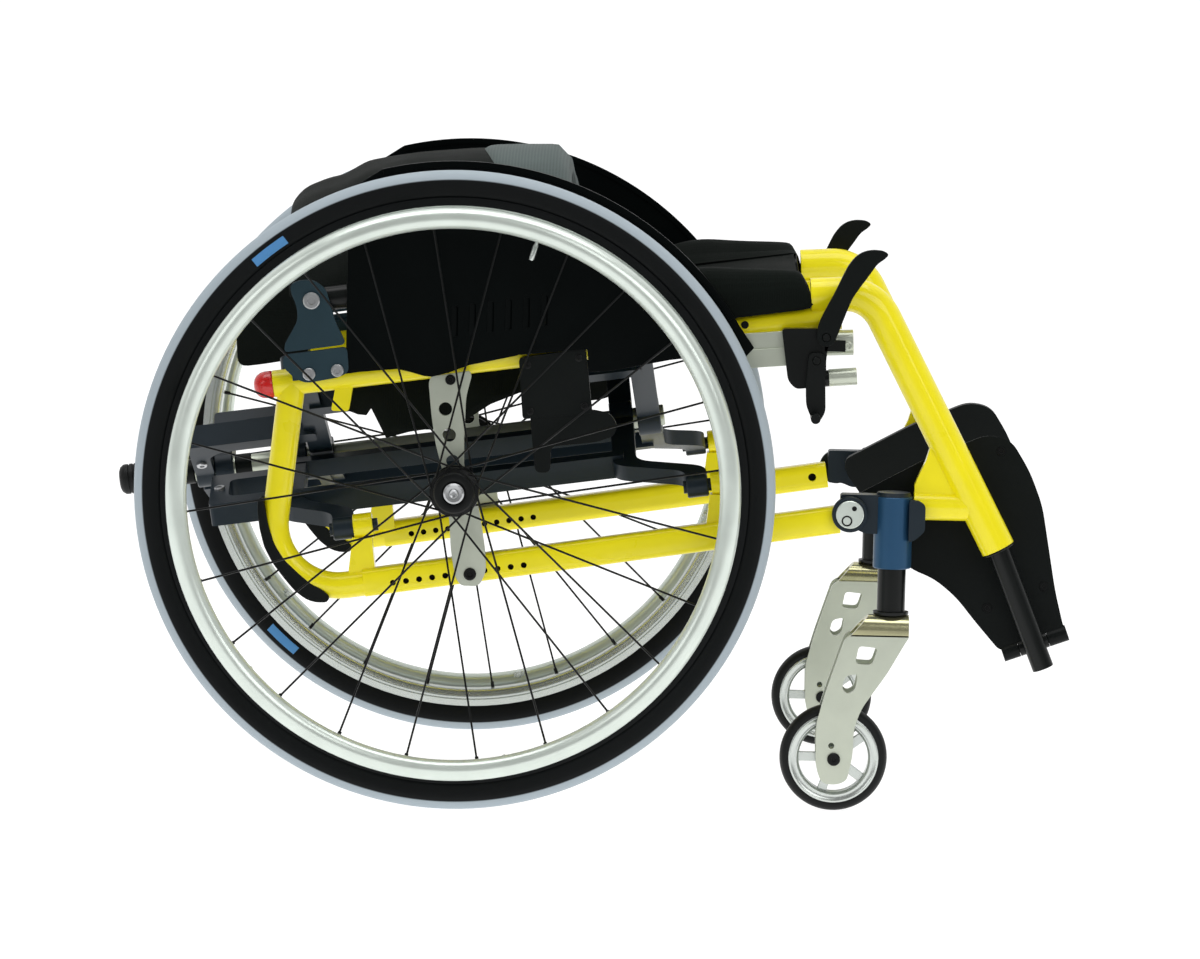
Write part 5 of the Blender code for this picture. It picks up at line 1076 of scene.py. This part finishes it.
def ring_on_tube(bm, x, y, z, inner, outer, length):
    """A collar along the chair, centred at x on a tube of the brace."""
    turned(bm, [(inner, -length / 2), (outer - 0.001, -length / 2), (outer, 0.001 - length / 2),
                (outer, length / 2 - 0.001), (outer - 0.001, length / 2), (inner, length / 2)],
           in_brace(x, y, z), axis=along_tube(1.0), steps=40, closed=True)


lower_plane = arm_plane(in_brace(0.0, -PIVOT_Y, 0.0), in_brace(0.0, 0.0, BRACE_RISE))
upper_plane = arm_plane(in_brace(0.0, 0.0, BRACE_RISE), in_brace(0.0, SEAT_TUBE_Y, SEAT_TUBE_UP))
LOWER_REACH = math.hypot(PIVOT_Y, BRACE_RISE)
UPPER_REACH = math.hypot(SEAT_TUBE_Y, SEAT_TUBE_UP - BRACE_RISE)


def casting(stagger, tail):
    """The casting whose feet are on the right. Stagger moves its legs, and tail is the back of its frame.

    Outlines are (along the pivot tube, up the half of the casting), from its foot or from the tube.
    """
    bm = bmesh.new()
    rear, front = ARM_LEGS[0] + stagger, ARM_LEGS[1] + stagger
    for x, foot in zip((rear, front), ARM_FEET):
        leg = [(foot - 0.010, -0.004), (foot - 0.010, 0.026), (x - LEG_HALF, 0.066),
               (x - LEG_HALF, LOWER_REACH - 0.012), (x + LEG_HALF, LOWER_REACH - 0.012),
               (x + LEG_HALF, 0.074), (foot + 0.010, 0.034), (foot + 0.010, -0.004)]
        plate(bm, rounded(leg, 0.016), 0.0075, 0.015, turn=lower_plane)
        head = [(x - LEG_HALF, 0.012), (x - LEG_HALF, 0.176), (x - 0.0187, UPPER_REACH - 0.008),
                (x + 0.0187, UPPER_REACH - 0.008), (x + LEG_HALF, 0.176), (x + LEG_HALF, 0.012)]
        plate(bm, rounded(head, 0.012), 0.0070, 0.014, turn=upper_plane)
        ring_on_tube(bm, x, 0.0, BRACE_RISE, 0.0103, 0.0175, 2 * LEG_HALF)
        ring_on_tube(bm, foot, -PIVOT_Y, 0.0, 0.0062, 0.0105, 0.020)
        bar(bm, in_brace(foot - 0.013, -PIVOT_Y, 0.0), in_brace(foot + 0.032, -PIVOT_Y, 0.0), 0.006, 24)
    back_frame = [(tail, 0.082), (front, 0.082), (front, 0.098), (rear, 0.098), (rear, 0.166),
                  (tail, 0.166)]
    window = [(tail + 0.018, 0.100), (rear - 0.012, 0.100), (rear - 0.012, 0.148), (tail + 0.018, 0.148)]
    plate(bm, rounded(back_frame, 0.004), 0.0110, 0.022, [rounded(window, 0.009)], turn=lower_plane)
    lower_rib = [(rear, 0.184), (front, 0.184), (front, 0.199), (rear, 0.199)]
    plate(bm, lower_rib, 0.0085, 0.017, turn=lower_plane)
    upper_rib = [(rear, 0.118), (front, 0.118), (front, 0.134), (rear, 0.134)]
    plate(bm, upper_rib, 0.0120, 0.022, turn=upper_plane)
    upper_frame = [(tail, 0.012), (tail, 0.080), (rear, 0.080), (rear, 0.062), (tail + 0.030, 0.062),
                   (tail + 0.018, 0.052), (tail + 0.018, 0.012)]
    plate(bm, rounded(upper_frame, 0.005), 0.0115, 0.023, turn=upper_plane)
    ring_on_tube(bm, tail + 0.009, 0.0, BRACE_RISE, 0.0103, 0.0165, 0.018)
    return bm


def casting_bolts(tail):
    """Socket screws on both faces of a casting's back frame."""
    bm = bmesh.new()
    bolt_head = [(0.0, 0.0010), (0.0022, 0.0010), (0.0024, 0.0026), (0.0046, 0.0026), (0.0052, 0.0018),
                 (0.0052, -0.0010), (0.0, -0.0010)]
    for plane, reach, depth in ((upper_plane, 0.040, 0.0115), (lower_plane, 0.124, 0.0110)):
        for side in (-1, 1):
            seat = plane @ Vector((tail + 0.009, side * depth, reach))
            outwards = plane.to_3x3() @ Vector((0.0, side, 0.0))
            turned(bm, bolt_head, seat, axis=outwards, steps=24)
    return bm


for arm_name, stagger, tail_end, feet_side in (("a", 0.0, -0.2335, 1.0), ("b", 0.026, -0.2520, -1.0)):
    body = f"cross_arm_{arm_name}"
    cast = casting(stagger, tail_end)
    bolts = casting_bolts(tail_end)
    for shape in (cast, bolts):
        bmesh.ops.scale(shape, vec=(1.0, feet_side, 1.0), verts=shape.verts)
    make_piece(f"cross_casting_{arm_name}", cast, body, SLATE, "slate_casting", (body,), edge=0.0022)
    make_piece(f"cross_casting_{arm_name}_bolts", bolts, body, STEEL, "steel")

# Pivot tube
# A drawn aluminium tube through both castings, with a black sleeve at the back and a ribbed rubber foot
# for the helper's shoe.

PIVOT_REAR, PIVOT_FRONT = -0.300, 0.2010
CAP_RIBS = 4
RIB_PITCH = 0.0045
pivot_tube = bmesh.new()
bar(pivot_tube, in_brace(PIVOT_REAR, 0.0, BRACE_RISE), in_brace(PIVOT_FRONT, 0.0, BRACE_RISE), 0.010, 40)
make_piece("pivot_tube", pivot_tube, "cross_arm_a", CHAMPAGNE, "silver_aluminium", ("centre_tube",),
           edge=0.0012)
sleeve = bmesh.new()
ring_on_tube(sleeve, -0.2765, 0.0, BRACE_RISE, 0.0098, 0.0118, 0.046)
ring_on_tube(sleeve, -0.2060, 0.0, BRACE_RISE, 0.0098, 0.0112, 0.016)
make_piece("pivot_sleeve", sleeve, "cross_arm_a", BLACK_PLASTIC, "black_plastic")
foot_cap = bmesh.new()
ribbed_side = [(0.0, 0.0262), (0.0085, 0.0260), (0.0120, 0.0245), (0.0142, 0.0215)]
for rib in range(CAP_RIBS):
    height = 0.0200 - RIB_PITCH * rib
    ribbed_side += [(0.0145, height), (0.0145, height - 0.0028), (0.0136, height - 0.0034),
                    (0.0136, height - 0.0041)]
turned(foot_cap, ribbed_side + [(0.0128, 0.0), (0.0, 0.0)], in_brace(PIVOT_REAR - 0.0003, 0.0, BRACE_RISE),
       axis=-along_tube(1.0))
make_piece("pivot_foot_cap", foot_cap, "cross_arm_a", SOFT_RUBBER, "soft_rubber", ("tip_cap",))

# Seat tubes, back posts and castor spindles
# Round steel tubes under a black satin coat. The castings carry the seat tubes, the brackets hold the back
# posts, and a spindle turns in each castor barrel.

SEAT_SIDES = (("right", -1, "cross_arm_b"), ("left", 1, "cross_arm_a"))
SEAT_TUBE_REAR, SEAT_TUBE_FRONT = -0.075, 0.348
for hand, side, body in SEAT_SIDES:
    seat_tube = bmesh.new()
    bar(seat_tube, in_brace(SEAT_TUBE_REAR, side * SEAT_TUBE_Y, SEAT_TUBE_UP),
        in_brace(SEAT_TUBE_FRONT, side * SEAT_TUBE_Y, SEAT_TUBE_UP), 0.0125, 40)
    make_piece(f"{hand}_seat_bar", seat_tube, body, BLACK_PAINT, "black_metal", (f"{hand}_seat_tube",),
               edge=0.0010)
back_post = bmesh.new()
post_foot = Vector((BACK_PIVOT_X, -BACK_POST_Y, BACK_PIVOT_Z))
bar(back_post, post_foot - along_tube(0.014), post_foot + along_tube(0.246), 0.011, 40)
make_pair("folding_post", back_post, "back_post", BLACK_PAINT, "black_metal", ("back_post",), edge=0.0015)
spindle = bmesh.new()
bar(spindle, (STEM.x, STEM.y, FORK_TOP + 0.0003), (STEM.x, STEM.y, 0.2877), 0.013, 40)
turned(spindle, [(0.0130, 0.0), (0.0160, 0.0), (0.0165, 0.0008), (0.0165, 0.0030), (0.0130, 0.0034)],
       (STEM.x, STEM.y, FORK_TOP + 0.0004), axis=UPWARDS, steps=40, closed=True)
make_pair("castor_spindle", spindle, "castor_swivel", BLACK_PAINT, "black_metal", ("castor_stem",))

# Seat cloth
# Coated black nylon, hemmed and drawn over the two seat tubes, with a padded roll along each side that
# hangs over the rail and is fuller towards the front.


def woven(name, colour, pitch, roughness=0.75, sheen=0.25, contrast=0.35):
    """A cloth finish: crossed threads at a given spacing over slow changes of shade."""
    made = surface(name, colour, roughness, specular=0.08, sheen=sheen, grain=0.5, grain_size=0.0025,
                   mottle=0.14, mottle_size=0.06)
    tree = made.node_tree
    places = tree.nodes.new("ShaderNodeTexCoord")
    threads = []
    for direction in ("X", "Y"):
        wave = tree.nodes.new("ShaderNodeTexWave")
        wave.bands_direction = direction
        wave.inputs["Scale"].default_value = math.tau / (20 * pitch)
        wave.inputs["Distortion"].default_value = 0.6
        wave.inputs["Detail Scale"].default_value = 2.0
        tree.links.new(places.outputs["Object"], wave.inputs["Vector"])
        threads.append(wave.outputs["Fac"])
    crossed = calculation(tree, "MAXIMUM", *threads)
    tint = tree.nodes["tint"]
    shade = tint.inputs["Value"].links[0].from_socket
    lit = calculation(tree, "MULTIPLY_ADD", crossed, contrast, 1.0 - contrast / 2)
    tree.links.new(calculation(tree, "MULTIPLY", shade, lit), tint.inputs["Value"])
    relief = tree.nodes["relief"]
    fine = relief.inputs["Height"].links[0].from_socket
    tree.links.new(calculation(tree, "MULTIPLY_ADD", fine, 0.4, crossed), relief.inputs["Height"])
    return made


def pulled_along(bm, edges, length, steps):
    """Pulls a line of edges along the seat tubes by a length, in even steps, and gives its last place."""
    for step in range(steps):
        points, edges = pulled(bm, edges)
        bmesh.ops.translate(bm, vec=along_tube(length / steps), verts=points)
    return edges


def thicken(piece, thickness):
    """Gives a sheet its thickness, half on each side."""
    wall = piece.modifiers.new("cloth thickness", "SOLIDIFY")
    wall.thickness = thickness
    wall.offset = 0.0


BLACK_CLOTH = woven("black nylon cloth", (0.0035, 0.0055, 0.0042), 0.0022, sheen=0.02)
CLOTH_REAR, CLOTH_FRONT = -0.072, 0.345
CLOTH_STEPS = 24
half_section = [(-0.2225, 0.1752), (-0.2140, 0.1776), (-0.2050, 0.1784), (-0.1890, 0.1760),
                (-0.1550, 0.1694), (-0.0923, 0.1596), (-0.0400, 0.1560), (0.0, 0.1553)]
section = half_section + [(-y, z) for y, z in reversed(half_section[:-1])]
cloth = bmesh.new()
points, thread = drawn_line(cloth, [in_brace(CLOTH_REAR, y, z) for y, z in section])
pulled_along(cloth, thread, CLOTH_FRONT - CLOTH_REAR, CLOTH_STEPS)
seat_cloth = make_piece("seat_cloth", cloth, None, BLACK_CLOTH, "black_fabric", ("seat_sling",))
thicken(seat_cloth, 0.0030)
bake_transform(seat_cloth)

ROLL_FRONT = 0.3525
ROLL_STEPS = 36
ROLL_TOP = 0.184
SWELL_START, SWELL_LENGTH = 0.150, 0.100
SWELL = 0.0185
FALL_START = 0.262
NOSE_START = 0.34
roll_outside = [(0.2345, 0.1520), (0.2372, 0.1516), (0.2392, 0.1560), (0.2400, 0.1700)]
roll_crown = [(0.2385, -0.0090), (0.2320, -0.0025), (0.2220, 0.0), (0.2100, -0.0020), (0.1990, -0.0085)]
roll_inside = [(0.1905, 0.1800), (0.1900, 0.1775), (0.2050, 0.1798), (0.2225, 0.1768), (0.2338, 0.1660)]
roll_section = roll_outside + [(y, ROLL_TOP + z) for y, z in roll_crown] + roll_inside


def stuffed(place):
    """Where the padding pushes a place on the plain roll, both of them in the brace's own axes."""
    padding = max(0.0, min(1.0, (place.z - 0.170) / 0.012))
    if abs(place.y) > 0.198 or place.z > 0.1805:
        rise = min(1.0, max(0.0, (place.x - SWELL_START) / SWELL_LENGTH))
        fall = max(0.0, place.x - FALL_START) * 0.175
        swell = SWELL * rise * rise * (3 - 2 * rise) - fall
        place.z += padding * (swell + 0.0005 * math.sin(place.x * 60.0))
    if place.x > NOSE_START:
        place.x += (place.x - NOSE_START) * (0.40 - max(0.0, place.z - 0.152) * 28.0)
    return place


def smoothed(piece):
    """Rounds a padded piece between its points."""
    rounding = piece.modifiers.new("soft curves", "SUBSURF")
    rounding.levels = 1
    rounding.render_levels = 1


for hand, side, body in SEAT_SIDES:
    roll = bmesh.new()
    places = [in_brace(CLOTH_REAR, side * y, z) for y, z in roll_section]
    points, loop = drawn_line(roll, places, closed=True)
    bmesh.ops.contextual_create(roll, geom=loop)
    front_loop = pulled_along(roll, loop, ROLL_FRONT - CLOTH_REAR, ROLL_STEPS)
    bmesh.ops.contextual_create(roll, geom=front_loop)
    for point in roll.verts:
        point.co = BRACE @ stuffed(BRACE.inverted() @ point.co)
    padded = make_piece(f"{hand}_seat_roll", roll, body, BLACK_CLOTH, "black_fabric", soften=60)
    smoothed(padded)

# Hem under the seat
# The cloth's loose edge hangs from each seat tube inside the rails, in shallow folds. It is cut to a
# ragged line below, and most of it is at the back.

hem_low = [(-0.1040, 0.3600), (-0.0939, 0.3565), (-0.0860, 0.3560), (-0.0816, 0.3626), (-0.0672, 0.3351),
           (-0.0380, 0.3435), (-0.0100, 0.3440), (0.0100, 0.3560), (0.0294, 0.3690), (0.0555, 0.3798),
           (0.0900, 0.3900)]
HEM_Y = 0.1925
HEM_STEPS = 8
HEM_WAVE = 0.0018
for hand, side, body in SEAT_SIDES:
    hem = bmesh.new()
    points, thread = drawn_line(hem, [(x, side * HEM_Y, z) for x, z in hem_low])
    for step in range(1, HEM_STEPS + 1):
        points, thread = pulled(hem, thread)
        for point in points:
            top = rail_height(point.co.x) + 0.0130
            point.co.z += (top - point.co.z) / (HEM_STEPS + 1 - step)
            wave = HEM_WAVE * math.sin(point.co.x * 70.0 + step * 0.5) * (1 - step / HEM_STEPS)
            point.co.y = side * (HEM_Y + wave)
    hem_piece = make_piece(f"{hand}_seat_hem", hem, body, BLACK_CLOTH, "black_fabric", soften=60)
    thicken(hem_piece, 0.0024)

# Back panel
# Padded upholstery of black spacer fabric between the back posts. Folded down on the seat, it bows upwards,
# its front edge is the top of the backrest, and a grey pad is sewn there as a grip.

BACK = Matrix.Translation((BACK_PIVOT_X, 0.0, BACK_PIVOT_Z)) @ Matrix.Rotation(-SLOPE, 4, "Y")
BACK_HALF = 0.2310
BACK_TAIL, BACK_TOP = -0.021, 0.247
BACK_BOW = 0.078
SEAM_WIDTH = 0.014
CROWN = [(-0.025, 0.086), (-0.017, 0.0955), (0.0, 0.0980), (0.030, 0.0990), (0.042, 0.104),
         (0.054, 0.1095), (0.080, 0.1110), (0.110, 0.1115), (0.159, 0.1090), (0.202, 0.1050),
         (0.235, 0.1010), (0.250, 0.0960)]


def crown_height(x):
    """Height of the folded panel's top in its middle, from points measured along the chair."""
    for (x0, z0), (x1, z1) in zip(CROWN, CROWN[1:]):
        if x <= x1:
            share = max(0.0, (x - x0) / (x1 - x0))
            return z0 + (z1 - z0) * share
    return CROWN[-1][1]


def bowed(bm, rear, front, half, lift, shrink, sweep=0.0):
    """Bends a unit box into a stretch of the bowed panel, thicker in its middle.

    Lift puts its two faces further out, shrink is the share of its thickness that its seams take away, and
    sweep moves its rear edge forwards at the sides.
    """
    for point in bm.verts:
        along, across, level = point.co
        share = across * 2
        start = rear + sweep * abs(share) ** 1.5
        x = start + (front - start) * (along + 0.5)
        place = share * half / BACK_HALF
        bottom = BACK_BOW * (1 - abs(place) ** 2.6) - 0.0040 - lift
        pad = 0.0080 + lift * 2 + (crown_height(x) - BACK_BOW - 0.0040) * (1 - abs(place) ** 4)
        edge = min(0.5 + along, 0.5 - along) * (front - start)
        side = min(0.5 + across, 0.5 - across) * 2 * half
        pad_share = 1.0 - shrink * (1.0 - min(1.0, min(edge, side) / SEAM_WIDTH)) ** 2
        level_share = 0.5 + level * pad_share
        point.co = BACK @ Vector((x, share * half, bottom + level_share * pad))


CLOTH_MOMENTS = 20


def puffed(bm, name, pressure, limit):
    """Swells a closed shape as stuffed fabric does, with no point moving further than the limit."""
    bmesh.ops.recalc_face_normals(bm, faces=bm.faces)
    before = [point.co.copy() for point in bm.verts]
    mesh = bpy.data.meshes.new(name)
    bm.to_mesh(mesh)
    model = bpy.data.objects.new(name, mesh)
    bpy.context.scene.collection.objects.link(model)
    cloth = model.modifiers.new("cloth", "CLOTH")
    cloth.settings.use_pressure = True
    cloth.settings.uniform_pressure_force = pressure
    cloth.settings.quality = 6
    cloth.settings.tension_stiffness = 18.0
    cloth.settings.compression_stiffness = 12.0
    cloth.settings.bending_stiffness = 0.4
    cloth.settings.effector_weights.gravity = 0.0
    cloth.point_cache.frame_start = 1
    cloth.point_cache.frame_end = CLOTH_MOMENTS + 4
    for moment in range(1, CLOTH_MOMENTS + 1):
        bpy.context.scene.frame_set(moment)
    swollen = bpy.data.meshes.new_from_object(model.evaluated_get(bpy.context.evaluated_depsgraph_get()))
    model.modifiers.clear()
    bpy.context.scene.frame_set(1)
    bpy.data.objects.remove(model)
    result = bmesh.new()
    result.from_mesh(swollen)
    for point, origin in zip(result.verts, before):
        shift = point.co - origin
        if shift.length > limit:
            point.co = origin + shift * (limit / shift.length)
    return result


def soft_box(along, across, up):
    """A unit box, cut evenly into the given numbers of parts."""
    bm = bmesh.new()
    bmesh.ops.create_cube(bm, size=1.0)
    for axis, parts in ((Vector((1, 0, 0)), along), (Vector((0, 1, 0)), across), (Vector((0, 0, 1)), up)):
        for index in range(1, parts):
            bmesh.ops.bisect_plane(bm, geom=bm.verts[:] + bm.edges[:] + bm.faces[:],
                                   plane_co=axis * (index / parts - 0.5), plane_no=axis)
    return bm


panel = soft_box(28, 48, 3)
bowed(panel, BACK_TAIL, BACK_TOP, BACK_HALF, -0.0010, 0.55)
back_panel = make_piece("back_panel", puffed(panel, "back panel shape", 4.0, 0.0035), "right_back_post",
                        BLACK_CLOTH, "black_fabric", ("back_sling",), soften=180)
smoothed(back_panel)
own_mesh(back_panel)

# Tail of the back cloth
# The loose lower end of the back's cover, which lies on the seat in use. With the back folded down it is
# gathered behind the panel and hangs between the frames, narrower towards its end.

TAIL_END = 0.394
TAIL_END_HALF = 0.045
TAIL_SPREAD = 0.75
tail = bmesh.new()
tail_outline = [(-0.2165, 0.3860), (-0.1940, 0.3890), (-0.1500, 0.3975), (-0.1440, 0.4400),
                (-0.1400, 0.5000), (-0.1530, 0.5400), (-0.1680, 0.5360), (-0.1790, 0.4780),
                (-0.2020, 0.4600), (-0.2170, 0.4350)]
plate(tail, rounded(tail_outline, 0.010, 4), 0.5, 1.0)
for point in tail.verts:
    point.co.y *= 2 * (TAIL_END_HALF + (point.co.z - TAIL_END) * TAIL_SPREAD)
back_tail = make_piece("back_tail", tail, "right_back_post", BLACK_CLOTH, "black_fabric", edge=0.008)
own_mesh(back_tail)

# Post sleeves and grip pad
# Each edge of the back panel is sewn into a sleeve of black nylon that is pulled over the post. The pad of
# grey spacer fabric is sewn round the top edge.

SLEEVE_START = 0.034
sleeve_side = [(0.0112, 0.0), (0.0128, 0.0004), (0.0131, 0.0100), (0.0130, 0.2060), (0.0126, 0.2088),
               (0.0112, 0.2092)]
for hand, side in (("right", -1), ("left", 1)):
    sleeve = bmesh.new()
    turned(sleeve, sleeve_side, BACK @ Vector((SLEEVE_START, side * BACK_POST_Y, 0.0)), axis=along_tube(1.0),
           steps=40, closed=True)
    body = f"{hand}_back_post"
    post_sleeve = make_piece(f"{hand}_post_sleeve", sleeve, body, BLACK_CLOTH, "black_fabric", soften=60)

GREY_CLOTH = woven("grey spacer fabric", (0.078, 0.100, 0.096), 0.0030, sheen=0.10, contrast=0.5)
grip = soft_box(14, 44, 3)
bowed(grip, 0.158, 0.251, BACK_HALF * 0.90, 0.0032, 0.50, sweep=0.040)
grip_pad = make_piece("back_grip_pad", puffed(grip, "grip pad shape", 4.0, 0.002), "right_back_post",
                      GREY_CLOTH, "black_fabric", soften=180)
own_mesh(grip_pad)
